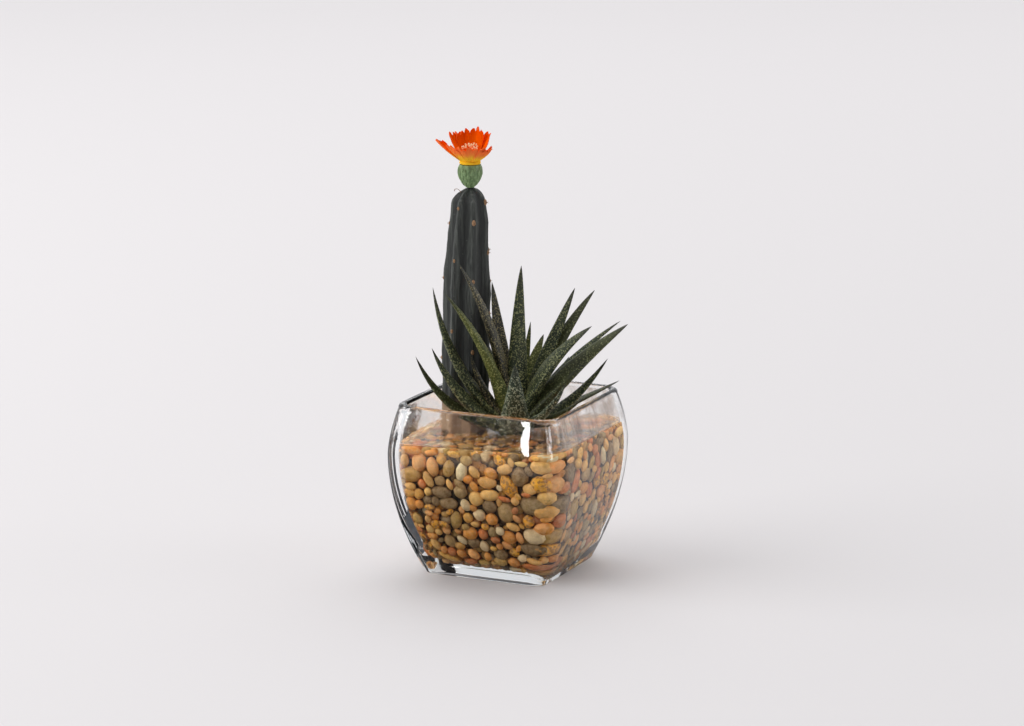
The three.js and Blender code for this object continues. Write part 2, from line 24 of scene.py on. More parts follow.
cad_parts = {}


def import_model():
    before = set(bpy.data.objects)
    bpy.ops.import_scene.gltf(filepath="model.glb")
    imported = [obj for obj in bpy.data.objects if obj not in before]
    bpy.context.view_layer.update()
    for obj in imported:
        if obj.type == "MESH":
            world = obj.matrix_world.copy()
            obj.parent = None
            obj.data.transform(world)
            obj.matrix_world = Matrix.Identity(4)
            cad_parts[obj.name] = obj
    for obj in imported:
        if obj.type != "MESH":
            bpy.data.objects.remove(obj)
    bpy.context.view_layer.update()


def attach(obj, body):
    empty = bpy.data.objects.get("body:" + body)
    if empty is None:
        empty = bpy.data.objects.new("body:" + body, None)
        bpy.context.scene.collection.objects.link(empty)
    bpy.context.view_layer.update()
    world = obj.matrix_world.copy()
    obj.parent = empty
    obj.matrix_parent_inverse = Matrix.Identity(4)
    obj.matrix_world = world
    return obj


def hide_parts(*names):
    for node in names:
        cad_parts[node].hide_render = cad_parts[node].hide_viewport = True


LOG = logging.getLogger("glass_bowl_garden")
MM = 0.001
BODY = "root"
GAP = 0.3
Colour = tuple[float, float, float]


class Slot(Enum):
    """The record's material slots."""

    GLASS = "bowl_glass"
    RESIN = "clear_resin"
    PEBBLES = "river_pebbles"
    CACTUS = "cactus_skin"
    RECEPTACLE = "receptacle_skin"
    PETAL = "petal"
    STAMEN = "stamen"
    CROWN = "crown_skin"
    LEAF_GREEN = "leaf_green"
    LEAF_LIME = "leaf_lime"
    LEAF_BROWN = "leaf_brown"
    LEAF_BLUE = "leaf_blue"
    LEAF_DARK = "leaf_dark"


# ------------------------------------------------------------ modelling helpers
def only(*objects: bpy.types.Object) -> None:
    """Selects these objects alone and makes the first one active.

    Args:
        objects: the objects to select.
    """
    if bpy.context.mode != "OBJECT":
        bpy.ops.object.mode_set(mode="OBJECT")
    bpy.ops.object.select_all(action="DESELECT")
    for item in objects:
        item.select_set(True)
    bpy.context.view_layer.objects.active = objects[0] if objects else None


def fresh(kind: str, **settings: object) -> bpy.types.Object:
    """Adds one of the mesh primitives, as the only selected object.

    Args:
        kind: the primitive's name.
        settings: its settings.

    Returns:
        The new object.
    """
    bpy.ops.object.select_all(action="DESELECT")
    getattr(bpy.ops.mesh, f"primitive_{kind}_add")(**settings)
    return bpy.context.active_object


def linked(name: str, data: bpy.types.ID) -> bpy.types.Object:
    """Makes an object of a mesh, curve, lamp or camera and puts it in the scene.

    Args:
        name: the new object's name.
        data: what the object shows.

    Returns:
        The new object.
    """
    item = bpy.data.objects.new(name, data)
    bpy.context.scene.collection.objects.link(item)
    return item


def placed(template: bpy.types.Object, frame: Matrix) -> bpy.types.Object:
    """Copies a template with a mesh of its own.

    Args:
        template: the object to copy.
        frame: how the copy's points are moved.

    Returns:
        The copy.
    """
    copy = template.copy()
    copy.data = template.data.copy()
    bpy.context.scene.collection.objects.link(copy)
    copy.data.transform(frame)
    return copy


@contextmanager
def editing(piece: bpy.types.Object) -> Iterator[None]:
    """Opens a piece in edit mode and closes it again.

    Args:
        piece: the mesh object to edit.
    """
    only(piece)
    bpy.ops.object.mode_set(mode="EDIT")
    yield
    bpy.ops.object.mode_set(mode="OBJECT")


def pick(piece: bpy.types.Object, test: Callable[[bmesh.types.BMVert], bool]) -> None:
    """Selects the vertices of the piece in edit mode that pass a test.

    Args:
        piece: the object in edit mode.
        test: tells whether a vertex is wanted.
    """
    mesh = bmesh.from_edit_mesh(piece.data)
    for vertex in mesh.verts:
        vertex.select_set(test(vertex))
    mesh.select_flush_mode()
    bmesh.update_edit_mesh(piece.data)


def stretch(
    piece: bpy.types.Object, shares: tuple[float, float, float],
    test: Callable[[bmesh.types.BMVert], bool] = lambda vertex: True,
) -> None:
    """Scales the points of a piece that pass a test about its origin.

    Args:
        piece: the object to scale.
        shares: the scale along X, Y and Z.
        test: tells whether a vertex is wanted.
    """
    with editing(piece):
        pick(piece, test)
        bpy.ops.transform.resize(value=shares, center_override=(0, 0, 0))


def apply_modifiers(piece: bpy.types.Object) -> None:
    """Applies every modifier of a piece in order.

    Args:
        piece: the object to finish.
    """
    only(piece)
    for modifier in list(piece.modifiers):
        bpy.ops.object.modifier_apply(modifier=modifier.name)


def lump(piece: bpy.types.Object, grain: float, height: float, level: float = 0.5) -> None:
    """Makes a piece's surface uneven with a soft cloud.

    Args:
        piece: the object to change.
        grain: the cloud's size, in millimetres.
        height: the difference between its highest and lowest parts, in millimetres.
        level: the cloud's value that leaves the surface where it is.
    """
    cloud = bpy.data.textures.new("soft_lumps", "CLOUDS")
    cloud.noise_scale = grain * MM
    shove = piece.modifiers.new("lumps", "DISPLACE")
    shove.texture, shove.strength, shove.mid_level = cloud, height * MM, level
    apply_modifiers(piece)


def smooth(piece: bpy.types.Object, angle: float = 40.0) -> None:
    """Shades a piece smooth, with edges sharper than an angle kept.

    Args:
        piece: the object to shade.
        angle: the least sharp angle, in degrees.
    """
    only(piece)
    bpy.ops.object.shade_smooth_by_angle(angle=math.radians(angle))


def lofted(name: str, rings: Sequence[Sequence[tuple[float, ...]]]) -> bpy.types.Object:
    """Raises a closed skin ring by ring: each is extruded, then its points are set.

    Args:
        name: the new object's name.
        rings: the points of each ring in millimetres, as many in each.

    Returns:
        The finished mesh object, whose place attribute tells a point's place in its ring.
    """
    count = len(rings[0])
    piece = fresh("circle", vertices=count, radius=MM, fill_type="NOTHING")
    piece.name = piece.data.name = name
    for vertex, spot in zip(piece.data.vertices, rings[0]):
        vertex.co = Vector(spot) * MM
    place = piece.data.attributes.new("place", "INT", "POINT")
    place.data.foreach_set("value", list(range(count)))
    with editing(piece):
        bpy.ops.mesh.select_all(action="SELECT")
        for below, ring in zip(rings, rings[1:]):
            lift = Vector(ring[0]) - Vector(below[0])
            bpy.ops.mesh.extrude_region_move(TRANSFORM_OT_translate={"value": lift * MM})
            mesh = bmesh.from_edit_mesh(piece.data)
            layer = mesh.verts.layers.int["place"]
            for vertex in mesh.verts:
                if vertex.select:
                    vertex.co = Vector(ring[vertex[layer]]) * MM
            bmesh.update_edit_mesh(piece.data)
        bpy.ops.mesh.edge_face_add()
        pick(piece, lambda v: v.index < count)
        bpy.ops.mesh.edge_face_add()
        bpy.ops.mesh.select_all(action="SELECT")
        bpy.ops.mesh.normals_make_consistent(inside=False)
    return piece


def tower(
    name: str,
    outline: Sequence[tuple[float, float]],
    levels: Sequence[tuple[float, float, float, float]],
) -> bpy.types.Object:
    """Raises a closed skin from one outline, moved and scaled at each level.

    Args:
        name: the new object's name.
        outline: the ring's shape about its own middle, in millimetres.
        levels: x, y, z and scale of each ring, from the first one on.

    Returns:
        The finished mesh object.
    """
    return lofted(name, [
        [(x + across * scale, y + up * scale, z) for across, up in outline]
        for x, y, z, scale in levels
    ])


def circle(count: int) -> list[tuple[float, float]]:
    """A round outline of radius 1.

    Args:
        count: the number of points.

    Returns:
        The points, anticlockwise from +X.
    """
    turns = [2 * math.pi * step / count for step in range(count)]
    return [(math.cos(turn), math.sin(turn)) for turn in turns]


def from_arrays(
    name: str, points: np.ndarray, faces: Sequence[Sequence[int]]
) -> bpy.types.Object:
    """Makes an object of points in millimetres and their faces.

    Args:
        name: the new object's name.
        points: one row of x, y and z for each point.
        faces: the point numbers of each face.

    Returns:
        The new mesh object.
    """
    mesh = bpy.data.meshes.new(name)
    mesh.from_pydata((np.asarray(points) * MM).tolist(), [], [tuple(f) for f in faces])
    mesh.update()
    mesh.update()
    return linked(name, mesh)


def arrays_of(piece: bpy.types.Object) -> tuple[np.ndarray, list[tuple[int, ...]]]:
    """Reads a piece's points in millimetres and its faces.

    Args:
        piece: the mesh object.

    Returns:
        The points, one a row, and the point numbers of each face.
    """
    points = np.empty(len(piece.data.vertices) * 3)
    piece.data.vertices.foreach_get("co", points)
    faces = [tuple(face.vertices) for face in piece.data.polygons]
    return points.reshape(-1, 3) / MM, faces


def discard(piece: bpy.types.Object) -> None:
    """Deletes a template object and its mesh.

    Args:
        piece: the template.
    """
    mesh = piece.data
    bpy.data.objects.remove(piece)
    bpy.data.meshes.remove(mesh)


def write(piece: bpy.types.Object, name: str, rows: np.ndarray) -> None:
    """Stores a number or a colour for each point of a piece, for its material.

    Args:
        piece: the mesh object.
        name: the attribute's name.
        rows: for each point a number, or a row of red, green and blue.
    """
    rows = np.asarray(rows, np.float32)
    if rows.ndim == 1:
        layer = piece.data.attributes.new(name, "FLOAT", "POINT")
        layer.data.foreach_set("value", rows)
    else:
        layer = piece.data.attributes.new(name, "FLOAT_COLOR", "POINT")
        layer.data.foreach_set("color", np.insert(rows, 3, 1.0, axis=1).ravel())


def dress(piece: bpy.types.Object, *materials: bpy.types.Material) -> None:
    """Gives a piece these materials and no others.

    Args:
        piece: the object to dress.
        materials: its materials, in the order of their places.
    """
    piece.data.materials.clear()
    for material in materials:
        piece.data.materials.append(material)


def join(name: str, pieces: Sequence[bpy.types.Object]) -> bpy.types.Object:
    """Joins objects into the first one.

    Args:
        name: the joined object's name.
        pieces: the objects, the first of which keeps its settings.

    Returns:
        The joined object.
    """
    only(*pieces)
    bpy.ops.object.join()
    piece = bpy.context.active_object
    piece.name = piece.data.name = name
    return piece


def hand_over(piece: bpy.types.Object, slot: Slot, *nodes: str) -> None:
    """Puts a finished piece on the body in place of its CAD nodes.

    Args:
        piece: the finished object.
        slot: the record's slot for its finish, which is only logged.
        nodes: the CAD nodes that it stands for.
    """
    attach(piece, BODY)
    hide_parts(*nodes)
    faces = sum(len(face.vertices) - 2 for face in piece.data.polygons)
    LOG.info("%s: %d triangles, slot %s", piece.name, faces, slot.value)


# ------------------------------------------------------------------ node helpers
class Wiring:
    """Short hand for adding and joining the nodes of one tree."""

    def __init__(self, tree: bpy.types.NodeTree) -> None:
        """Keeps the tree to work on."""
        self.tree = tree

    def add(self, kind: str, settings: dict | None = None, **inputs: object) -> bpy.types.Node:
        """Adds a node with its settings and inputs.

        Args:
            kind: the node's type without the ShaderNode prefix.
            settings: values of the node's own properties.
            inputs: input values or sockets by name, with _ for a space.

        Returns:
            The new node.
        """
        node = self.tree.nodes.new("ShaderNode" + kind)
        for key, value in (settings or {}).items():
            setattr(node, key, value)
        self.feed_all(node, **inputs)
        return node

    def feed(self, node: bpy.types.Node, name: str | int, value: object) -> None:
        """Sets an input to a value, or links a socket to it.

        Args:
            node: the node that takes the value.
            name: the input's name or place.
            value: a number, colour, vector or output socket.
        """
        socket = node.inputs[name]
        if isinstance(value, bpy.types.NodeSocket):
            self.tree.links.new(value, socket)
        elif isinstance(value, tuple) and len(value) == 3 and socket.type == "RGBA":
            socket.default_value = (*value, 1.0)
        else:
            socket.default_value = value

    def operate(self, kind: str, operation: str, *values: object) -> bpy.types.Node:
        """Adds a node that works on numbers or vectors.

        Args:
            kind: the node's type without the ShaderNode prefix.
            operation: what it does.
            values: its inputs in order.

        Returns:
            The new node.
        """
        node = self.add(kind, {"operation": operation})
        for place, value in enumerate(values):
            self.feed(node, place, value)
        return node

    def math(self, operation: str, *values: object) -> bpy.types.NodeSocket:
        """Works on numbers and returns the result."""
        return self.operate("Math", operation, *values).outputs[0]

    def vector(self, operation: str, *values: object) -> bpy.types.NodeSocket:
        """Works on vectors and returns the resulting vector."""
        return self.operate("VectorMath", operation, *values).outputs["Vector"]

    def along(self, way: object, direction: tuple[float, float, float]) -> bpy.types.NodeSocket:
        """Returns how far a vector reaches in a direction."""
        return self.operate("VectorMath", "DOT_PRODUCT", way, direction).outputs["Value"]

    def times(self, value: object, factor: object) -> bpy.types.NodeSocket:
        """Returns the product of two numbers."""
        return self.math("MULTIPLY", value, factor)

    def times_plus(self, value: object, factor: object, more: object) -> bpy.types.NodeSocket:
        """Returns the product of two numbers, plus a third."""
        return self.math("MULTIPLY_ADD", value, factor, more)

    def blend(self, share: object, low: object, high: object) -> bpy.types.NodeSocket:
        """Mixes two colours.

        Args:
            share: 0 for the first colour and 1 for the second.
            low: the first colour.
            high: the second colour.

        Returns:
            The mixed colour.
        """
        node = self.add("Mix", {"data_type": "RGBA"})
        self.feed(node, 0, share)
        self.feed(node, 6, low)
        self.feed(node, 7, high)
        return node.outputs[2]

    def filtered(self, colour: object, by: Colour) -> bpy.types.NodeSocket:
        """Multiplies a colour by another.

        Args:
            colour: the colour to change.
            by: what each of its parts is multiplied by.

        Returns:
            The changed colour.
        """
        product = self.blend(1.0, colour, by)
        product.node.blend_type = "MULTIPLY"
        return product

    def ramp(self, value: object, low: float, high: float) -> bpy.types.NodeSocket:
        """Maps a range of numbers onto 0 to 1, smoothly.

        Args:
            value: the number to map.
            low: what becomes 0.
            high: what becomes 1.

        Returns:
            The mapped number.
        """
        node = self.add("MapRange", {"interpolation_type": "SMOOTHSTEP"})
        for name, number in (("Value", value), ("From Min", low), ("From Max", high)):
            self.feed(node, name, number)
        return node.outputs[0]

    def point(self, name: str) -> bpy.types.NodeSocket:
        """Reads one number of the piece's own attribute."""
        return self.add("Attribute", {"attribute_name": name}).outputs["Fac"]

    def place(self) -> bpy.types.NodeSocket:
        """Reads the place on the piece, in metres."""
        return self.add("TexCoord").outputs["Object"]

    def height(self, place: object) -> bpy.types.NodeSocket:
        """Returns the Z part of a vector."""
        return self.add("SeparateXYZ", None, Vector=place).outputs[2]

    def group(self, tree: bpy.types.NodeTree, **inputs: object) -> bpy.types.NodeSocket:
        """Places a shared effect with its own values.

        Args:
            tree: the node group.
            inputs: its input values or sockets by name.

        Returns:
            Its mask.
        """
        node = self.tree.nodes.new("ShaderNodeGroup")
        node.node_tree = tree
        self.feed_all(node, **inputs)
        return node.outputs[0]

    def feed_all(self, node: bpy.types.Node, **inputs: object) -> None:
        """Sets inputs of a node by name, with _ for a space."""
        for key, value in inputs.items():
            self.feed(node, key.replace("_", " "), value)


# ------------------------------------------- effects that several finishes share
def start_effect(
    name: str, **inputs: float
) -> tuple[bpy.types.NodeTree, Wiring, bpy.types.bpy_prop_collection, bpy.types.Node]:
    """Starts a node group with a Place input, named numbers and a Mask output.

    Args:
        name: the group's name.
        inputs: default value of each number input.

    Returns:
        The tree, its wiring, its inputs and its output node.
    """
    tree = bpy.data.node_groups.new(name, "ShaderNodeTree")
    face = tree.interface
    face.new_socket("Place", in_out="INPUT", socket_type="NodeSocketVector")
    for key, value in inputs.items():
        socket = face.new_socket(key, in_out="INPUT", socket_type="NodeSocketFloat")
        socket.default_value = value
    face.new_socket("Mask", in_out="OUTPUT", socket_type="NodeSocketFloat")
    given = tree.nodes.new("NodeGroupInput").outputs
    return tree, Wiring(tree), given, tree.nodes.new("NodeGroupOutput")


@cache
def mottle() -> bpy.types.NodeTree:
    """Builds the group of cloudy patches, from 0 to 1.

    Returns:
        The node group.
    """
    tree, wires, given, end = start_effect("mottled_patches", Scale=100.0, Softness=0.3)
    cloud = wires.add(
        "TexNoise", None, Vector=given["Place"], Scale=given["Scale"], Detail=5.0, Roughness=0.6
    )
    low, high = (wires.math(way, 0.5, given["Softness"]) for way in ("SUBTRACT", "ADD"))
    wires.feed(end, "Mask", wires.ramp(cloud.outputs[0], low, high))
    return tree


@cache
def speckle() -> bpy.types.NodeTree:
    """Builds the group of small round dots, denser in some patches than in others.

    Returns:
        The node group.
    """
    tree, wires, given, end = start_effect("raised_speckles", Scale=900.0, Size=0.3, Cover=0.5)
    shake = (0.0004, 0.0004, 0.0004)
    wobble = wires.add("TexNoise", None, Vector=given["Place"], Scale=given["Scale"], Detail=2.0)
    shifted = wires.vector("MULTIPLY_ADD", wobble.outputs["Color"], shake, given["Place"])
    cells = wires.add("TexVoronoi", None, Vector=shifted, Scale=given["Scale"])
    dots = wires.ramp(wires.math("SUBTRACT", given["Size"], cells.outputs["Distance"]), 0.0, 0.1)
    draw = wires.add("SeparateColor", None, Color=cells.outputs["Color"]).outputs[0]
    wires.feed(end, "Mask", wires.times(dots, wires.math("LESS_THAN", draw, given["Cover"])))
    return tree


@cache
def streaks() -> bpy.types.NodeTree:
    """Builds the group of fine lines along Z, from 0 to 1.

    Returns:
        The node group.
    """
    tree, wires, given, end = start_effect("upright_streaks", Scale=400.0, Stretch=0.06)
    squash = wires.add("CombineXYZ", None, X=1.0, Y=1.0, Z=given["Stretch"]).outputs[0]
    lines = wires.add(
        "TexNoise", None, Vector=wires.vector("MULTIPLY", given["Place"], squash),
        Scale=given["Scale"], Detail=4.0, Roughness=0.65,
    )
    wires.feed(end, "Mask", wires.ramp(lines.outputs[0], 0.32, 0.68))
    return tree


def blank(name: str) -> tuple[bpy.types.Material, Wiring, bpy.types.Node]:
    """Starts a material with one Principled BSDF.

    Args:
        name: the material's name.

    Returns:
        The material, its wiring and its Principled node.
    """
    material = bpy.data.materials.new(name)
    material.use_nodes = True
    tree = material.node_tree
    return material, Wiring(tree), tree.nodes["Principled BSDF"]


def bump(wires: Wiring, shader: bpy.types.Node, height: object, depth: float) -> None:
    """Roughens a shader's surface by a height pattern.

    Args:
        wires: the material's wiring.
        shader: its Principled node.
        height: the pattern, from 0 to 1.
        depth: how deep the pattern goes, in millimetres.
    """
    node = wires.add("Bump", None, Strength=1.0, Distance=depth * MM, Height=height)
    wires.feed(shader, "Normal", node.outputs[0])


# ---------------------------------------------------------------------- finishes
@dataclass(frozen=True)
class ClearFinish:
    """Clear glass or resin. Lamps' rays pass it, so that it throws no black shadow."""

    name: str
    ior: float = 1.5
    tint: Colour = (0.985, 0.99, 0.985)
    roughness: float = 0.0
    swell: float = 0.0
    mirror: float = 1.0
    stain: Colour | None = None

    def make(self) -> bpy.types.Material:
        """Builds the material.

        Returns:
            The new material.
        """
        material, wires, shader = blank(self.name)
        colour: object = self.tint
        if self.stain:
            lines = wires.group(streaks(), Place=wires.place(), Scale=150.0, Stretch=0.12)
            patch = wires.group(mottle(), Place=wires.place(), Scale=24.0, Softness=0.14)
            across = wires.add("SeparateXYZ", None, Vector=wires.place()).outputs[0]
            cover = wires.times_plus(patch, 0.4, 0.6)
            cover = wires.times(cover, wires.ramp(across, -0.035, 0.045))
            share = wires.times(lines, cover)
            colour = wires.blend(share, self.tint, self.stain)
        wires.feed_all(
            shader, Base_Color=colour, Transmission_Weight=1.0, Roughness=self.roughness,
            IOR=self.ior, Specular_Tint=(self.mirror,) * 3,
        )
        if self.swell:
            waves = wires.group(mottle(), Place=wires.place(), Scale=70.0, Softness=0.45)
            bump(wires, shader, waves, self.swell)
        shadow = wires.add("LightPath").outputs["Is Shadow Ray"]
        clear = wires.add("BsdfTransparent", None, Color=self.tint)
        mix = wires.add("MixShader")
        for place, value in enumerate((shadow, shader.outputs[0], clear.outputs[0])):
            wires.feed(mix, place, value)
        out = material.node_tree.nodes["Material Output"]
        wires.feed(out, "Surface", mix.outputs[0])
        return material


@dataclass(frozen=True)
class PebbleFinish:
    """River stones: mottled and clouded, and pitted where they are gritty."""

    name: str = "river_pebbles"
    roughness: float = 0.42

    def make(self) -> bpy.types.Material:
        """Builds the material.

        Returns:
            The new material.
        """
        material, wires, shader = blank(self.name)
        place = wires.place()
        tint = wires.add("Attribute", {"attribute_name": "tint"}).outputs["Color"]
        grit = wires.point("grit")
        fine = wires.group(mottle(), Place=place, Scale=420.0, Softness=0.22)
        broad = wires.group(mottle(), Place=place, Scale=130.0, Softness=0.25)
        dark = wires.filtered(tint, (0.55, 0.44, 0.32))
        colour = wires.blend(wires.times(broad, 0.45), tint, dark)
        cloud = wires.group(mottle(), Place=place, Scale=260.0, Softness=0.16)
        dusky = wires.filtered(colour, (0.6, 0.54, 0.45))
        colour = wires.blend(wires.times(cloud, 0.4), colour, dusky)
        pits = wires.group(speckle(), Place=place, Scale=620.0, Size=0.62, Cover=0.7)
        pitted = wires.times(pits, grit)
        colour = wires.blend(wires.times(pitted, 0.75), colour, (0.3, 0.1, 0.015))
        colour = wires.blend(
            wires.times(fine, 0.26), colour, (0.95, 0.7, 0.42)
        )
        rough = wires.times_plus(fine, 0.25, self.roughness)
        wires.feed_all(shader, Base_Color=colour, Roughness=rough, Specular_IOR_Level=0.25)
        depth = wires.times_plus(pitted, -1.2, fine)
        bump(wires, shader, depth, 0.16)
        return material


@dataclass(frozen=True)
class CactusFinish:
    """Near-black grey-green skin, fine paler lines, painted shade in the grooves, a corky foot."""

    name: str = "cactus_skin"
    dark: Colour = (0.011, 0.013, 0.0115)
    pale: Colour = (0.055, 0.062, 0.056)
    cork: Colour = (0.4, 0.27, 0.17)
    cork_from: float = 0.102
    cork_below: float = 0.088

    def make(self) -> bpy.types.Material:
        """Builds the material.

        Returns:
            The new material.
        """
        material, wires, shader = blank(self.name)
        place = wires.place()
        crest = wires.point("crest")
        lines = wires.group(streaks(), Place=place, Scale=520.0, Stretch=0.05)
        bands = wires.group(streaks(), Place=place, Scale=170.0, Stretch=0.12)
        # Painted shade: the skin is paler on the crests and darker in the grooves.
        share = wires.times_plus(bands, 0.5, 0.12)
        share = wires.times(share, wires.ramp(crest, -0.1, 0.75))
        colour = wires.blend(share, self.dark, self.pale)
        # The pale lines are the skin's own streaks, strongest on the crests as painted highlight.
        fleck = wires.math("POWER", lines, 2.2)
        fleck = wires.times(fleck, wires.times_plus(crest, 0.75, 0.15))
        colour = wires.blend(fleck, colour, (0.13, 0.14, 0.125))
        dust = wires.group(speckle(), Place=place, Scale=520.0, Size=0.22, Cover=0.12)
        colour = wires.blend(
            wires.times(dust, 0.4), colour, (0.16, 0.17, 0.15)
        )
        corky = wires.ramp(wires.height(place), self.cork_from, self.cork_below)
        colour = wires.blend(corky, colour, self.cork)
        rough = wires.times_plus(lines, 0.2, 0.5)
        wires.feed_all(shader, Base_Color=colour, Roughness=rough, Specular_IOR_Level=0.35)
        bump(wires, shader, lines, 0.32)
        return material


@dataclass(frozen=True)
class LeafFinish:
    """Leathery leaf skin, thick with raised pale speckles, and a dark thin tip."""

    name: str
    body: Colour
    shade: Colour
    dots: Colour
    cover: float = 0.6
    flush: Colour | None = None

    def make(self) -> bpy.types.Material:
        """Builds the material.

        Returns:
            The new material.
        """
        material, wires, shader = blank(self.name)
        place = wires.place()
        share = wires.point("share")
        patches = wires.group(mottle(), Place=place, Scale=75.0, Softness=0.25)
        colour = wires.blend(patches, self.body, self.shade)
        if self.flush:
            warm = wires.group(mottle(), Place=place, Scale=38.0, Softness=0.16)
            colour = wires.blend(wires.times(warm, 0.8), colour, self.flush)
        tip = wires.times(wires.ramp(share, 0.8, 1.0), 0.75)
        colour = wires.blend(tip, colour, (0.026, 0.026, 0.016))
        large = wires.group(speckle(), Place=place, Scale=640.0, Size=0.4, Cover=self.cover)
        small = wires.group(
            speckle(), Place=place, Scale=1150.0, Size=0.42, Cover=self.cover
        )
        cloud = wires.group(mottle(), Place=place, Scale=160.0, Softness=0.3)
        thick = wires.times_plus(cloud, 0.65, 0.35)
        dots = wires.math("MAXIMUM", large, small)
        dots = wires.times(dots, thick)
        dots = wires.times(dots, wires.ramp(share, 1.02, 0.8))
        colour = wires.blend(wires.times(dots, 0.88), colour, self.dots)
        colour = wires.blend(wires.times(wires.point("stud"), 0.95), colour, self.dots)
        rough = wires.times_plus(patches, 0.14, 0.44)
        wires.feed_all(shader, Base_Color=colour, Roughness=rough, Specular_IOR_Level=0.35)
        bump(wires, shader, dots, 0.25)
        return material


@dataclass(frozen=True)
class PetalFinish:
    """Thin petal cloth, yellow at its root and redder to its frayed tip."""

    name: str
    root: Colour
    middle: Colour
    tip: Colour
    reach: tuple[float, float] = (0.3, 0.62)

    def make(self) -> bpy.types.Material:
        """Builds the material.

        Returns:
            The new material.
        """
        material, wires, shader = blank(self.name)
        share = wires.point("share")
        across = wires.point("side")
        spot = wires.add("CombineXYZ", None, X=across, Y=across, Z=share)
        veins = wires.group(streaks(), Place=spot.outputs[0], Scale=9.0, Stretch=0.12)
        cloud = wires.group(mottle(), Place=wires.place(), Scale=260.0, Softness=0.3)
        wobble = wires.times_plus(veins, 0.16, share)
        low, high = self.reach
        colour = wires.blend(wires.ramp(wobble, low, high), self.root, self.middle)
        colour = wires.blend(wires.ramp(wobble, 0.45, 1.1), colour, self.tip)
        shade = wires.times(cloud, 0.25)
        colour = wires.blend(shade, colour, self.tip)
        rough = wires.times_plus(veins, 0.2, 0.45)
        wires.feed_all(shader, Base_Color=colour, Roughness=rough, Specular_IOR_Level=0.0)
        bump(wires, shader, veins, 0.12)
        return material


@dataclass(frozen=True)
class SoftFinish:
    """Mottled matt skin in two colours, finely streaked."""

    name: str
    low: Colour
    high: Colour
    scale: float = 300.0
    roughness: float = 0.6
    depth: float = 0.1

    def make(self) -> bpy.types.Material:
        """Builds the material.

        Returns:
            The new material.
        """
        material, wires, shader = blank(self.name)
        place = wires.place()
        cloud = wires.group(mottle(), Place=place, Scale=self.scale, Softness=0.25)
        lines = wires.group(streaks(), Place=place, Scale=700.0, Stretch=0.2)
        share = wires.times_plus(lines, 0.4, cloud)
        share = wires.times(share, 0.7)
        rough = wires.times_plus(cloud, 0.15, self.roughness)
        colour = wires.blend(share, self.low, self.high)
        wires.feed_all(shader, Base_Color=colour, Roughness=rough)
        bump(wires, shader, share, self.depth)
        return material


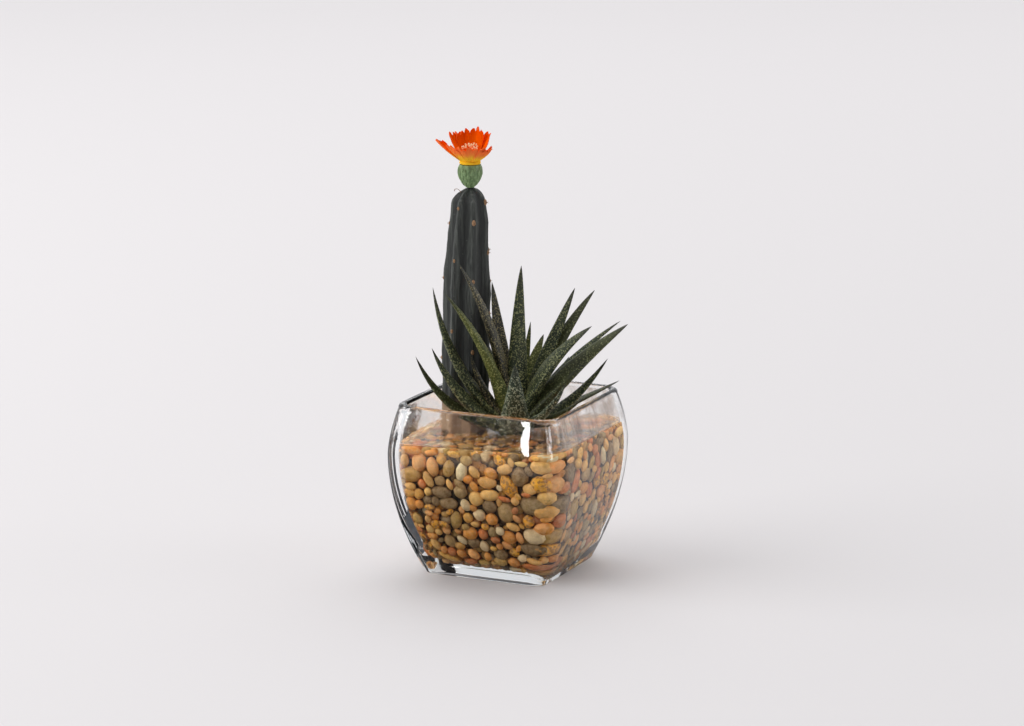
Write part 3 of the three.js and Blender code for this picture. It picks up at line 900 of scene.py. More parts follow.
# ------------------------------------------------------------------- glass bowl
@dataclass
class Bowl:
    """The thick glass bowl: a bulged square tumbler with round corners."""

    height: float = 102.0
    base_half: float = 39.0
    bulge_half: float = 57.0
    bulge_z: float = 72.0
    rim_half: float = 50.5
    lower_curve: float = 1.93
    upper_curve: float = 1.6
    base_corner: float = 8.0
    bulge_corner: float = 15.0
    rim_corner: float = 11.0
    least_corner: float = 3.5
    wall: float = 4.3
    heel: float = 9.0
    heel_fade: float = 13.0
    floor_z: float = 6.0
    floor_fillet: float = 13.0
    lip: float = 1.0
    rim_round: float = 2.1
    level_z: float = 80.4
    level_rise: float = 0.035
    corner_steps: int = 10
    side_steps: int = 16
    outer_rows: int = 36
    inner_rows: int = 32
    rim_steps: int = 14
    crown: float = 0.3
    contact_z: float = 12.5
    glass: ClearFinish = ClearFinish("bowl_glass")
    wetted: ClearFinish = ClearFinish("wetted_glass", ior=1.001, mirror=0.0)
    loose: ClearFinish = ClearFinish("loose_glass")
    wavy: ClearFinish = ClearFinish("wavy_inner_glass", swell=0.25, stain=(0.2, 0.09, 0.02))

    def __post_init__(self) -> None:
        """Finds where the cavity's wall springs from its floor's fillet."""
        self.spring_z = self.floor_z + self.floor_fillet
        self.spring_half = self.outer_half(self.spring_z) - self.wall_at(self.spring_z)

    def outer_half(self, z: float) -> float:
        """Half the outside width at a height.

        Args:
            z: the height.

        Returns:
            The half width.
        """
        if z <= self.bulge_z:
            drop = max(1 - z / self.bulge_z, 0.0) ** self.lower_curve
            return self.bulge_half - (self.bulge_half - self.base_half) * drop
        rise = (z - self.bulge_z) / (self.height - self.bulge_z)
        return self.bulge_half - (self.bulge_half - self.rim_half) * rise**self.upper_curve

    def corner(self, z: float) -> float:
        """The outside corners' radius at a height.

        Args:
            z: the height.

        Returns:
            The radius.
        """
        below = z <= self.bulge_z
        above = (self.height - z) / (self.height - self.bulge_z)
        share = z / self.bulge_z if below else above
        end = self.base_corner if below else self.rim_corner
        return end + (self.bulge_corner - end) * math.sin(share * math.pi / 2)

    def wall_at(self, z: float) -> float:
        """The glass's thickness at a height."""
        return self.wall + self.heel * math.exp(-z / self.heel_fade)

    def level(self, x: float) -> float:
        """The height of the resin's top, which set a little aslant."""
        return self.level_z + self.level_rise * x

    def bonded(self, out: Vector, z: float) -> bool:
        """Whether the resin still clings to the glass on a side that faces outwards so."""
        return z < self.contact_z or (out.x > -0.1 and out.y < 0.1)

    def cavity_half(self, z: float, inset: float) -> float:
        """Half the cavity's width at a height.

        Args:
            z: the height.
            inset: how far it is moved inwards.

        Returns:
            The half width.
        """
        if z >= self.spring_z:
            return self.outer_half(z) - self.wall_at(z) - inset
        fall = min((self.spring_z - z) / (self.floor_fillet - inset), 1.0)
        return self.spring_half - self.floor_fillet * (1 - math.sqrt(1 - fall**2)) - inset

    def cavity_corner(self, z: float, inset: float) -> float:
        """The cavity's corner radius at a height, moved inwards by an inset."""
        return max(self.corner(z) - self.wall_at(z) * 0.5 - inset, self.least_corner)

    def ring(self, half: float, corner: float, z: float) -> list[tuple[float, float, float]]:
        """A square with round corners and slightly crowned sides.

        Args:
            half: half its width.
            corner: its corners' radius.
            z: its height.

        Returns:
            The points, anticlockwise from the middle of the +X side.
        """
        flat = half - corner
        quarter = [(half, flat * step / self.side_steps) for step in range(self.side_steps)]
        for step in range(self.corner_steps + 1):
            turn = math.pi / 2 * step / self.corner_steps
            quarter.append((flat + corner * math.cos(turn), flat + corner * math.sin(turn)))
        for step in range(self.side_steps - 1, 0, -1):
            quarter.append((flat * step / self.side_steps, half))
        sag = self.crown / half**3
        points = []
        for side in range(4):
            cos, sin = math.cos(side * math.pi / 2), math.sin(side * math.pi / 2)
            for x, y in quarter:
                x, y = x - sag * y * y * x, y - sag * x * x * y
                points.append((x * cos - y * sin, x * sin + y * cos, z))
        return points

    def cavity(
        self, inset: float, top: float, rows: int
    ) -> list[list[tuple[float, float, float]]]:
        """The cavity's rings from its floor up.

        Args:
            inset: how far it is moved inwards, in millimetres.
            top: the height to stop at.
            rows: the number of steps above the fillet.

        Returns:
            The rings.
        """
        drop = self.floor_fillet - inset
        heights = [self.spring_z - drop * math.cos(step * math.pi / 16) for step in range(8)]
        heights += [
            self.spring_z + (top - self.spring_z) * row / rows for row in range(rows + 1)
        ]
        return [
            self.ring(self.cavity_half(z, inset), self.cavity_corner(z, inset), z)
            for z in heights
        ]

    def build(self) -> bpy.types.Object:
        """Models the bowl by raising, turning over and lowering one outline.

        Returns:
            The finished bowl.
        """
        rings = []
        for step in range(4):
            turn = step * math.pi / 6
            half = self.outer_half(self.lip) - self.lip * (1 - math.sin(turn))
            rings.append(self.ring(half, self.base_corner, self.lip * (1 - math.cos(turn))))
        low = self.height - self.rim_round
        for row in range(1, self.outer_rows + 1):
            z = self.lip + (low - self.lip) * row / self.outer_rows
            rings.append(self.ring(self.outer_half(z), self.corner(z), z))
        thick = self.wall_at(low)
        middle = self.outer_half(low) - thick / 2
        for step in range(1, self.rim_steps):
            turn = step * math.pi / self.rim_steps
            half = middle + thick / 2 * math.cos(turn)
            corner = self.rim_corner - self.wall / 4 * (1 - math.cos(turn))
            rings.append(self.ring(half, corner, low + self.rim_round * math.sin(turn)))
        rings += reversed(self.cavity(0.0, low, self.inner_rows))
        piece = lofted("glass_bowl_shell", rings)
        finishes = (self.glass, self.wetted, self.loose, self.wavy)
        dress(piece, *[finish.make() for finish in finishes])
        for face in piece.data.polygons:
            x, y, z = face.center / MM
            inside = max(abs(x), abs(y)) < self.outer_half(z) - self.wall_at(z) / 2
            if inside and self.floor_z - 0.5 < z < low:
                wet = self.bonded(-face.normal, z)
                face.material_index = 3 if z > self.level(x) else 1 if wet else 2
        smooth(piece, 50)
        hand_over(piece, Slot.GLASS, "glass_bowl")
        return piece


@dataclass
class Fill:
    """The clear resin that sets round the stones, with a small meniscus at its edge."""

    bowl: Bowl
    meniscus: float = 0.5
    slant_from: float = 70.0
    rows: int = 22
    slanted_rows: int = 6
    edge: tuple[tuple[float, float], ...] = (
        (0.35, 0.5), (0.8, 0.22), (1.5, 0.07), (2.6, 0.0), (8.0, 0.0),
    )
    top: ClearFinish = ClearFinish(
        "clear_resin", tint=(0.996, 0.992, 0.982), roughness=0.2, swell=0.8, mirror=0.7
    )
    sides: ClearFinish = ClearFinish(
        "resin_against_glass", ior=1.001, tint=(0.996, 0.992, 0.982), mirror=0.0
    )
    loose: ClearFinish = ClearFinish("loose_resin", tint=(0.996, 0.992, 0.982))

    def slanted(self, share: float, inwards: float, curl: float) -> list:
        """One ring of the part that slants with the top.

        Args:
            share: 0 at the foot of the slanted part and 1 at the top.
            inwards: how far it lies in from the wall.
            curl: its height over the level, as a share of the meniscus.

        Returns:
            The ring's points.
        """
        bowl = self.bowl
        rise = bowl.level_z + self.meniscus * curl - self.slant_from
        middle = self.slant_from + rise * share
        half = bowl.cavity_half(middle, GAP)
        corner = bowl.cavity_corner(middle, GAP)
        points = []
        for x, y, _ in bowl.ring(half - inwards, max(corner - inwards, 2.0), middle):
            z = middle + bowl.level_rise * x * share
            scale = bowl.cavity_half(z, GAP) / half
            points.append((x * scale, y * scale, z))
        return points

    def build(self) -> bpy.types.Object:
        """Models the fill as a block whose top curls up against the glass.

        Returns:
            The finished fill.
        """
        rings = self.bowl.cavity(GAP, self.slant_from, self.rows)
        for row in range(1, self.slanted_rows + 1):
            rings.append(self.slanted(row / self.slanted_rows, 0.0, 1.0))
        rings += [self.slanted(1.0, inwards, curl) for inwards, curl in self.edge]
        piece = lofted("resin_fill", rings)
        dress(piece, *[finish.make() for finish in (self.top, self.sides, self.loose)])
        for face in piece.data.polygons:
            bonded = self.bowl.bonded(face.normal, face.center.z / MM)
            face.material_index = 0 if face.normal.z > 0.5 else 1 if bonded else 2
        smooth(piece, 60)
        hand_over(piece, Slot.RESIN, "clear_fill")
        return piece


# ----------------------------------------------------------------------- gravel
@dataclass(frozen=True)
class StoneKind:
    """One sort of river stone: its colour, how much it varies and how gritty it is."""

    colour: Colour
    spread: float
    grit: float = 0.0


KINDS = {
    "P": StoneKind((1.0, 0.46, 0.14), 0.08),
    "T": StoneKind((0.98, 0.55, 0.15), 0.12),
    "C": StoneKind((1.0, 0.8, 0.48), 0.05),
    "A": StoneKind((1.0, 0.47, 0.02), 0.04, 1.0),
    "O": StoneKind((0.64, 0.38, 0.09), 0.16),
    "D": StoneKind((0.26, 0.16, 0.06), 0.25),
    "G": StoneKind((0.45, 0.29, 0.11), 0.2),
    "R": StoneKind((0.75, 0.21, 0.04), 0.14),
    "B": StoneKind((0.92, 0.36, 0.05), 0.12),
    "Y": StoneKind((0.98, 0.52, 0.09), 0.1, 0.3),
}

# The stones against a side: place along it, height, half length, half width, turn in
# degrees and sort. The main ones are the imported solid's; the small ones lie between.
MAIN_STONES = (
    (50.4, 80.1, 5.1, 3.4, 11, "T"), (-38.3, 76.4, 6.8, 2.5, -7, "B"),
    (43.6, 74.5, 5.5, 3.9, -7, "T"), (21.2, 71.2, 5.1, 3.1, 13, "T"),
    (-33.8, 69.2, 5.5, 4.8, 79, "P"), (-14.6, 67.8, 5.2, 3.7, 74, "O"),
    (-24.9, 67.7, 5.7, 3.9, -74, "P"), (30.2, 67.4, 5.6, 5.5, 90, "D"),
    (-6.3, 66.7, 5.7, 3.6, 77, "C"), (42.9, 64.1, 4.9, 5.1, 14, "A"),
    (9.8, 62.4, 6.2, 3.7, 0, "T"), (-39.1, 61.7, 7.2, 4.9, 9, "O"),
    (23.3, 61.2, 7.6, 4.7, -56, "A"), (-27.7, 60.2, 5.4, 2.8, -60, "T"),
    (48.8, 56.4, 4.3, 4.3, 0, "T"), (11.1, 54.8, 6.5, 3.6, 4, "T"),
    (-7.6, 54.7, 4.5, 3.9, 0, "G"), (-19.8, 53, 6.5, 3.9, 0, "D"), (2.2, 51.5, 4.6, 4.7, 90, "T"),
    (36.7, 51.1, 7.6, 6, 0, "D"), (10.5, 47.8, 4.8, 4, 0, "D"), (45, 47.8, 5.5, 4.4, -12, "T"),
    (-15.8, 46.7, 6.1, 4, 0, "D"), (20.7, 45, 6.5, 5.9, 90, "G"), (-41, 43.8, 4.4, 3.9, 90, "B"),
    (3.5, 41.7, 4, 3.8, 0, "C"), (11.1, 39.9, 4, 3.8, 0, "B"), (43.2, 37.1, 4.1, 4.2, 10, "P"),
    (-11.9, 36.9, 5.9, 3.8, 80, "O"), (35.6, 31.8, 6, 5.4, 0, "C"),
    (20.8, 29.4, 4.9, 4.3, -20, "B"), (-4, 29, 5, 4.2, 30, "B"), (-2.6, 23.2, 4.2, 3.8, 0, "D"),
    (33.4, 23.2, 7.2, 4.2, 0, "D"), (-17.9, 22.4, 4.6, 3.9, -60, "G"),
    (13.5, 18.5, 4.6, 3.9, 0, "D"), (33.8, 11.7, 7.7, 2.4, 0, "R"),
    (-20.2, 11.5, 7.1, 2.4, -25, "Y"),
)

SMALL_STONES = (
    (44.1, 81.6, 2.7, 2.3, 0, "P"), (40, 79.3, 2.7, 1.5, -13, "Y"),
    (-11.1, 76.6, 4.5, 2, -4, "Y"), (3.4, 76.3, 3, 2.3, 0, "D"), (-25.3, 76.1, 4.5, 1.7, 4, "B"),
    (17.6, 75.9, 4.5, 2.9, -27, "A"), (31.5, 75.3, 4.4, 1.6, 0, "O"),
    (-3.3, 73.6, 4.1, 3.1, 0, "O"), (37, 73.2, 4.7, 2, 9, "Y"), (-19.2, 73, 3.6, 3.4, 79, "Y"),
    (49.8, 72.1, 3.5, 4, 0, "B"), (-43.9, 69.6, 3.8, 3, 90, "T"), (39, 68.2, 3.3, 3.2, 14, "P"),
    (12.2, 67.9, 4.5, 3.3, -18, "B"), (2, 67.6, 4.5, 2.7, -43, "T"),
    (49.8, 63.9, 3.2, 1.5, 90, "A"), (-2.2, 63, 3.3, 2.5, 19, "B"),
    (46.9, 62.7, 3.1, 1.6, 90, "G"), (36.3, 61, 4.2, 3.5, 0, "T"),
    (-20.4, 59.9, 3.6, 3.2, 0, "G"), (-7.5, 59.3, 4.4, 2.2, -33, "G"),
    (1.4, 59.3, 3.6, 2.2, -48, "B"), (-14.1, 58.6, 3.6, 1.9, -63, "T"),
    (52.6, 58.6, 3.9, 1.9, -59, "C"), (34.6, 57.8, 3, 1.4, 0, "R"),
    (-31.8, 57.3, 2.9, 2.4, -58, "R"), (44.4, 57, 2.8, 1.7, 90, "D"),
    (40.7, 56.6, 3.8, 2.5, -29, "A"), (-39.6, 54.7, 3.8, 2.5, 0, "T"),
    (20.7, 53.7, 4.1, 1.6, -9, "R"), (27.2, 53.2, 2.9, 2.7, 29, "T"),
    (-28.3, 52.8, 2.7, 2.5, 90, "T"), (-41.1, 50.6, 4.2, 2.9, 0, "Y"),
    (-34.7, 50.3, 3.6, 3.4, 90, "Y"), (-28.8, 47.4, 3.4, 2.9, 0, "D"),
    (-23.8, 47.2, 3.3, 2.7, 90, "D"), (-4.7, 47, 3.9, 3.1, -59, "C"),
    (-34.8, 44.2, 3.1, 2.9, 0, "B"), (50.1, 43.6, 2.8, 2.2, 19, "B"),
    (40.6, 43.5, 3.2, 2.2, -5, "P"), (-27.9, 43.3, 3.6, 2.1, 0, "A"),
    (-15, 41.8, 2.8, 1.8, 24, "A"), (34.4, 41.3, 4.2, 3.4, 80, "A"),
    (-28.7, 39.5, 3.1, 1.8, -5, "P"), (-4, 39.1, 3.3, 3.2, 90, "Y"), (39, 39, 3.1, 2.7, 15, "P"),
    (47.7, 37.7, 2.5, 3.3, 0, "D"), (24.3, 36.8, 4.5, 2.6, -15, "T"), (0.3, 35.8, 3, 1.9, 0, "T"),
    (-30, 35.5, 2.6, 2.1, 90, "T"), (6.7, 34.9, 2.8, 2.2, -10, "A"),
    (-37.5, 34.6, 3.8, 3.1, -59, "O"), (-19.7, 33.4, 3.5, 1.9, -19, "A"),
    (-6.2, 33.2, 2.7, 2.2, 0, "O"), (15.7, 33.2, 3.2, 2.8, -39, "C"),
    (-25.6, 32.5, 3.5, 3.2, 0, "A"), (10.6, 31.9, 3.7, 2.9, 90, "G"),
    (47.8, 31.9, 3.1, 3.3, 0, "G"), (27.8, 30.3, 4.1, 2.3, -75, "P"),
    (4.3, 29.7, 3.8, 3.1, 90, "R"), (-19.2, 29.4, 2.9, 2.5, -39, "P"),
    (42.4, 29.3, 4.4, 3.2, 10, "Y"), (-29.6, 28.9, 3.1, 2.7, -29, "T"),
    (11.9, 27.3, 3.1, 2.3, 0, "R"), (-28.7, 24.9, 3.5, 2.3, 0, "B"),
    (44.2, 24.5, 4.2, 3, 12, "B"), (-9.8, 24.4, 3.7, 2.3, -35, "C"),
    (18.9, 24.4, 3.6, 2.1, -30, "P"), (39.3, 24.2, 2.3, 1.4, 90, "B"),
    (14, 23.3, 2.3, 2.3, 0, "B"), (3.8, 21.8, 3.8, 3.1, -70, "C"), (9.8, 21.4, 2.3, 1.7, 0, "Y"),
    (-12.1, 20.3, 3.7, 2.5, 0, "Y"), (22.7, 20.2, 3.6, 2.9, -45, "A"),
    (-27.8, 19.7, 4.7, 2.7, -60, "T"), (27.6, 18, 3.3, 2.5, 20, "C"),
    (-22.7, 16.9, 2.7, 2.4, 90, "B"), (33.5, 16.2, 3.8, 2.1, -20, "T"),
    (-4, 16.1, 4.1, 3.1, -35, "P"), (-18, 16, 3.1, 3.1, 0, "R"), (41.9, 15.8, 3.4, 3.1, 0, "D"),
    (-12.1, 15.6, 3.1, 3.1, 0, "B"), (5, 15.5, 3.1, 2.3, 90, "B"), (6.1, 15.3, 4.3, 3.1, 90, "B"),
    (21, 12.6, 3.9, 3.5, 0, "B"), (12.5, 12.3, 4.3, 3.5, 0, "O"), (1.5, 10.5, 3.7, 2.4, 0, "O"),
    (-7.3, 10.1, 4.3, 2.4, 0, "R"), (4.4, 9.7, 2.5, 2.4, 0, "Y"), (21.1, 9, 3.1, 1.4, 0, "C"),
)


@dataclass
class Gravel:
    """The bed of rounded river pebbles, laid from the glass inwards.

    Its posts are the column and the stem: x, y, radius and foot.
    """

    bowl: Bowl
    seed: int = 11
    jacket: float = 2.3
    drop: float = 1.2
    thickness: float = 0.8
    loose: float = 6.0
    pitch: float = 15.0
    floor_reach: float = 20.0
    top_reach: float = 38.0
    posts: tuple[tuple[float, float, float, float], ...] = (
        (-28.2, 0.6, 15.0, 33.7), (4.0, -0.5, 8.9, 60.0),
    )
    shapes: int = 7
    grain: float = 1.1
    lumpiness: float = 0.42
    most: int = 2600
    nearby: float = 18.0
    probe_top: float = 84.0
    probes: int = 160
    loose_sorts: str = "TPCODGBYR"
    between_sorts: str = "TTPCAODGRBBYY"
    behind_sorts: str = "TTPCAODGRBBYYO"
    heart_inset: float = 6.5
    heart_top: float = 72.0
    # The heart's colour is painted shade: the stones deep in the bed, which lie in shade.
    painted_shade_colour: Colour = (0.03, 0.017, 0.008)
    finish: PebbleFinish = PebbleFinish()

    def __post_init__(self) -> None:
        """Starts the seeded run of draws and the lists of stones."""
        self.rng = random.Random(self.seed)
        self.middles: list[np.ndarray] = []
        self.frames: list[np.ndarray] = []
        self.shades: list[tuple[Colour, float]] = []
        self.near_rows = np.zeros((self.most, 3))
        self.near_frames = np.zeros((self.most, 3, 3))

    def templates(self) -> tuple[list[np.ndarray], list[tuple[int, ...]]]:
        """Models a few stones of unit size: rounded, and each a little lopsided.

        Returns:
            The points of each stone, and the faces that they share.
        """
        shapes, faces = [], []
        for number in range(self.shapes):
            stone = fresh("ico_sphere", subdivisions=2, radius=MM)
            with editing(stone):
                bpy.ops.mesh.select_all(action="SELECT")
                bpy.ops.transform.rotate(
                    value=number * 0.9, orient_axis="X", center_override=(0, 0, 0)
                )
            lump(stone, self.grain, self.lumpiness)
            points, faces = arrays_of(stone)
            points -= points.mean(0)
            points /= np.abs(points).max(0)
            shapes.append(points)
            discard(stone)
        return shapes, faces

    def clear(self, middle: np.ndarray, frame: np.ndarray, closeness: float) -> bool:
        """Tells whether a stone would lie clear of those already laid.

        Args:
            middle: where the stone would lie.
            frame: its half axes, one a column.
            closeness: how much of the touching distance is enough.

        Returns:
            True if no stone and no post is too close.
        """
        for x, y, radius, foot in self.posts:
            if middle[2] > foot and math.hypot(middle[0] - x, middle[1] - y) < radius + 1.0:
                return False
        count = len(self.middles)
        away = middle - self.near_rows[:count]
        far = np.linalg.norm(away, axis=1)
        near = far < self.nearby
        if not near.any():
            return True
        away, far = away[near] / far[near, None], far[near]
        own = np.linalg.norm(away @ frame, axis=1)
        theirs = np.linalg.norm(
            np.einsum("ni,nij->nj", away, self.near_frames[:count][near]), axis=1
        )
        return bool((far > closeness * (own + theirs)).all())

    def keep(self, middle: np.ndarray, frame: np.ndarray, sort: str, lift: float) -> None:
        """Lays a stone and shades it.

        Args:
            middle: where it lies.
            frame: its half axes, one a column.
            sort: its letter in KINDS.
            lift: how much darker or lighter than its sort it is, below 1 as painted shade.
        """
        count = len(self.middles)
        self.near_rows[count], self.near_frames[count] = middle, frame
        self.middles.append(middle)
        self.frames.append(frame)
        kind = KINDS[sort]
        value = lift * (1 + self.rng.uniform(-1, 1) * kind.spread)
        hue = self.rng.uniform(-0.08, 0.08)
        red, green, blue = kind.colour
        tint = (red * value, green * value * (1 + hue), blue * value * (1 + 1.6 * hue))
        self.shades.append((tint, kind.grit))

    def wall_place(self, along: float, z: float) -> tuple[np.ndarray, np.ndarray]:
        """Where the bed's side lies at a place, and which way faces the glass there.

        Args:
            along: the place along the side, measured round its corners.
            z: the height.

        Returns:
            The point and the direction, for the side that faces -Y.
        """
        bowl, inset = self.bowl, self.jacket
        corner = bowl.cavity_corner(z, inset)
        flat = bowl.cavity_half(z, inset) - corner
        turn = min(max(abs(along) - flat, 0.0) / corner, math.pi / 4)
        way = math.copysign(1.0, along)
        x = way * (flat + corner * math.sin(turn)) if turn > 0 else along
        slope = (bowl.cavity_half(z + 1, inset) - bowl.cavity_half(z - 1, inset)) / 2
        out = np.array([way * math.sin(turn), -math.cos(turn), -slope])
        spot = np.array([x, -flat - corner * math.cos(turn), z])
        return spot, out / np.linalg.norm(out)

    def wall_stone(
        self, side: int, along: float, z: float, long: float, wide: float, turn: float,
        depth: float = 0.0,
    ) -> tuple[np.ndarray, np.ndarray]:
        """Sets a stone against a side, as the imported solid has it.

        Args:
            side: 0 for the side that faces -Y, and on anticlockwise.
            along: the place along the side.
            z: the height.
            long: half its length.
            wide: half its width.
            turn: its slope, in degrees.
            depth: how far behind the bed's side its outside lies.

        Returns:
            Its middle and its half axes, one a column.
        """
        mirror = -1 if side % 2 else 1
        spot, out = self.wall_place(along * mirror, z)
        across = np.cross((0.0, 0.0, 1.0), out)
        across /= np.linalg.norm(across)
        climb = np.cross(out, across)
        angle = math.radians(turn) * mirror
        length = across * math.cos(angle) + climb * math.sin(angle)
        deep = wide * self.thickness
        frame = np.column_stack((length * long, np.cross(out, length) * wide, out * deep))
        cos, sin = math.cos(side * math.pi / 2), math.sin(side * math.pi / 2)
        spin = np.array([[cos, -sin, 0.0], [sin, cos, 0.0], [0.0, 0.0, 1.0]])
        return spin @ (spot - out * (deep + depth)), spin @ frame

    def tabled(self) -> None:
        """Lays the tabled stones on all four sides, the small ones where they fit."""
        sorts = [row[5] for row in MAIN_STONES + SMALL_STONES]
        for table, closeness in ((MAIN_STONES, 0.0), (SMALL_STONES, 0.66)):
            for side in range(4):
                for *place, sort in table:
                    depth = self.rng.uniform(0.0, 0.6) if closeness else 0.0
                    middle, frame = self.wall_stone(side, *place, depth)
                    sort = self.rng.choice(sorts) if side else sort
                    if not closeness or self.clear(middle, frame, closeness):
                        self.keep(middle, frame, sort, 1.0)

    def fillers(self, count: int, sizes: tuple[float, float], depth: float, lift: float) -> None:
        """Throws stones into the room behind the tabled ones.

        Args:
            count: the number of throws.
            sizes: least and greatest half length.
            depth: how far in from the bed's side they lie, at least.
            lift: how light they are, below 1 as painted shade on the deeper stones.
        """
        rng, bowl = self.rng, self.bowl
        low = bowl.floor_z + self.jacket
        for _ in range(count):
            z = rng.uniform(low + 1.5, bowl.level_z - self.drop - 1.0)
            long = rng.uniform(*sizes) * (0.75 + 0.35 * (z - low) / bowl.level_z)
            wide = long * rng.uniform(0.6, 0.9)
            reach = bowl.cavity_half(z, self.jacket)
            middle, frame = self.wall_stone(
                rng.randrange(4), rng.uniform(-reach, reach), z, long, wide,
                rng.uniform(-90, 90), depth + rng.uniform(0.0, 1.2),
            )
            if self.clear(middle, frame, 0.8):
                self.keep(middle, frame, rng.choice(self.behind_sorts), lift)

    def dice(self, state: int) -> Iterator[float]:
        """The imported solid's own run of draws.

        Args:
            state: its seed.

        Yields:
            Numbers from 0 to 1.
        """
        while True:
            state = (state * 1664525 + 1013904223) % 4294967296
            yield state / 4294967296

    def loose_stones(self) -> None:
        """Lays the larger stones on the floor and on top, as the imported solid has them."""
        draw = self.dice(11)
        sink = self.loose * 0.75
        for reach, on_top in ((self.floor_reach, False), (self.top_reach, True)):
            count = math.floor(2 * reach / self.pitch + 0.5)
            for i in range(count + 1):
                for j in range(count + 1):
                    x = (i / count * 2 - 1) * reach + (next(draw) - 0.5) * self.pitch * 0.3
                    y = (j / count * 2 - 1) * reach + (next(draw) - 0.5) * self.pitch * 0.3
                    top = self.bowl.level(x) - self.drop - sink
                    z = top if on_top else self.bowl.floor_z + self.jacket + sink
                    size = Matrix.Diagonal((
                        self.loose * (0.85 + 0.15 * next(draw)),
                        self.loose * (0.75 + 0.2 * next(draw)),
                        self.loose * (0.65 + 0.2 * next(draw)),
                    ))
                    tip = Matrix.Rotation(next(draw) * math.pi, 3, "X")
                    turn = Matrix.Rotation(next(draw) * math.pi, 3, "Z")
                    frame = np.array(turn @ tip @ size)
                    sort = self.rng.choice(self.loose_sorts)
                    self.keep(np.array([x, y, z]), frame, sort, 1.0)

    def between(self, count: int, top: bool) -> None:
        """Throws small stones between the loose ones.

        Args:
            count: the number of throws.
            top: True for the bed's top and False for its foot.
        """
        rng = self.rng
        reach = 44.0 if top else 26.0
        for _ in range(count):
            x, y = rng.uniform(-reach, reach), rng.uniform(-reach, reach)
            long = rng.uniform(2.2, 4.6)
            shares = (1.0, rng.uniform(0.65, 0.9), rng.uniform(0.55, 0.75))
            spin = Matrix.Rotation(rng.uniform(0, math.pi), 3, "Z")
            spin = spin @ Matrix.Rotation(rng.gauss(0, 0.35), 3, "X")
            frame = np.array(spin @ Matrix.Diagonal([long * share for share in shares]))
            high = np.linalg.norm(frame[2])
            z = self.bowl.floor_z + self.jacket + high
            if top:
                z = self.bowl.level(x) - self.drop - high - abs(rng.gauss(0.3, 1.0))
            middle = np.array([x, y, z])
            if self.clear(middle, frame, 0.84):
                self.keep(middle, frame, rng.choice(self.between_sorts), 1.0)

    def confined(self, points: np.ndarray) -> np.ndarray:
        """Presses points that reach out of the bed's room back to its sides.

        Args:
            points: one row of x, y and z for each point.

        Returns:
            The points, moved.
        """
        bowl = self.bowl
        points = points.copy()
        points[:, 2] = np.clip(
            points[:, 2], bowl.floor_z + self.jacket,
            bowl.level_z + bowl.level_rise * points[:, 0] - self.drop,
        )
        heights = np.linspace(bowl.floor_z + self.jacket, self.probe_top, self.probes)
        halves = [bowl.cavity_half(z, self.jacket) for z in heights]
        corners = [bowl.cavity_corner(z, self.jacket) for z in heights]
        half = np.interp(points[:, 2], heights, halves)
        corner = np.interp(points[:, 2], heights, corners)
        flat = (half - corner)[:, None]
        spots = np.abs(points[:, :2])
        over = np.maximum(spots - flat, 0.0)
        reach = np.maximum(np.hypot(over[:, 0], over[:, 1]), 1e-9)
        back = np.minimum(corner / reach, 1.0)[:, None]
        points[:, :2] = np.copysign(np.minimum(spots, flat) + over * back, points[:, :2])
        for x, y, radius, foot in self.posts:
            away = points[:, :2] - (x, y)
            far = np.maximum(np.hypot(away[:, 0], away[:, 1]), 1e-6)
            push = np.where(points[:, 2] > foot, np.maximum(radius / far, 1.0), 1.0)
            points[:, :2] = away * push[:, None] + (x, y)
        return points

    def heart(self) -> bpy.types.Object:
        """Models a dark heart behind the stones that show: painted shade for the deeper stones.

        Returns:
            The heart, in its painted shade colour.
        """
        rings = self.bowl.cavity(self.jacket + self.heart_inset, self.heart_top, 12)
        heart = lofted("heart", rings)
        count = len(heart.data.vertices)
        # Painted shade: the heart is coloured as the shaded stones deep in the bed.
        write(heart, "tint", np.tile(self.painted_shade_colour, (count, 1)))
        write(heart, "grit", np.zeros(count))
        return heart

    def throw(self) -> None:
        """Lays all the stones, the ones that show first."""
        self.tabled()
        self.loose_stones()
        # The fillers behind are darkened by their lift below 1: painted shade in the gaps between
        # the stones that show.
        self.fillers(count=2600, sizes=(2.4, 3.4), depth=0.5, lift=0.92)
        self.between(count=2600, top=True)
        self.between(count=700, top=False)
        self.fillers(count=2200, sizes=(3.4, 5.0), depth=2.6, lift=0.6)
        self.fillers(count=2600, sizes=(2.4, 3.4), depth=3.2, lift=0.5)

    def build(self) -> bpy.types.Object:
        """Lays the bed, colours each stone and adds a dark heart of painted shade behind them.

        Returns:
            The finished bed.
        """
        self.throw()
        shapes, faces = self.templates()
        face_rows = np.array(faces)
        points, rows, tints, grits = [], [], [], []
        start = 0
        for middle, frame, (tint, grit) in zip(self.middles, self.frames, self.shades):
            shape = self.rng.choice(shapes)
            points.append(self.confined(shape @ frame.T + middle))
            turned = face_rows if np.linalg.det(frame) > 0 else face_rows[:, ::-1]
            rows.append(turned + start)
            start += len(shape)
            tints.append(np.tile(tint, (len(shape), 1)))
            grits.append(np.full(len(shape), grit))
        stones = from_arrays("pebbles", np.concatenate(points), np.concatenate(rows).tolist())
        write(stones, "tint", np.concatenate(tints))
        write(stones, "grit", np.concatenate(grits))
        piece = join("river_pebble_bed", [stones, self.heart()])
        dress(piece, self.finish.make())
        only(piece)
        bpy.ops.object.shade_smooth()
        LOG.info("river_pebble_bed: %d stones", len(self.middles))
        hand_over(piece, Slot.PEBBLES, "gravel_bed")
        return piece


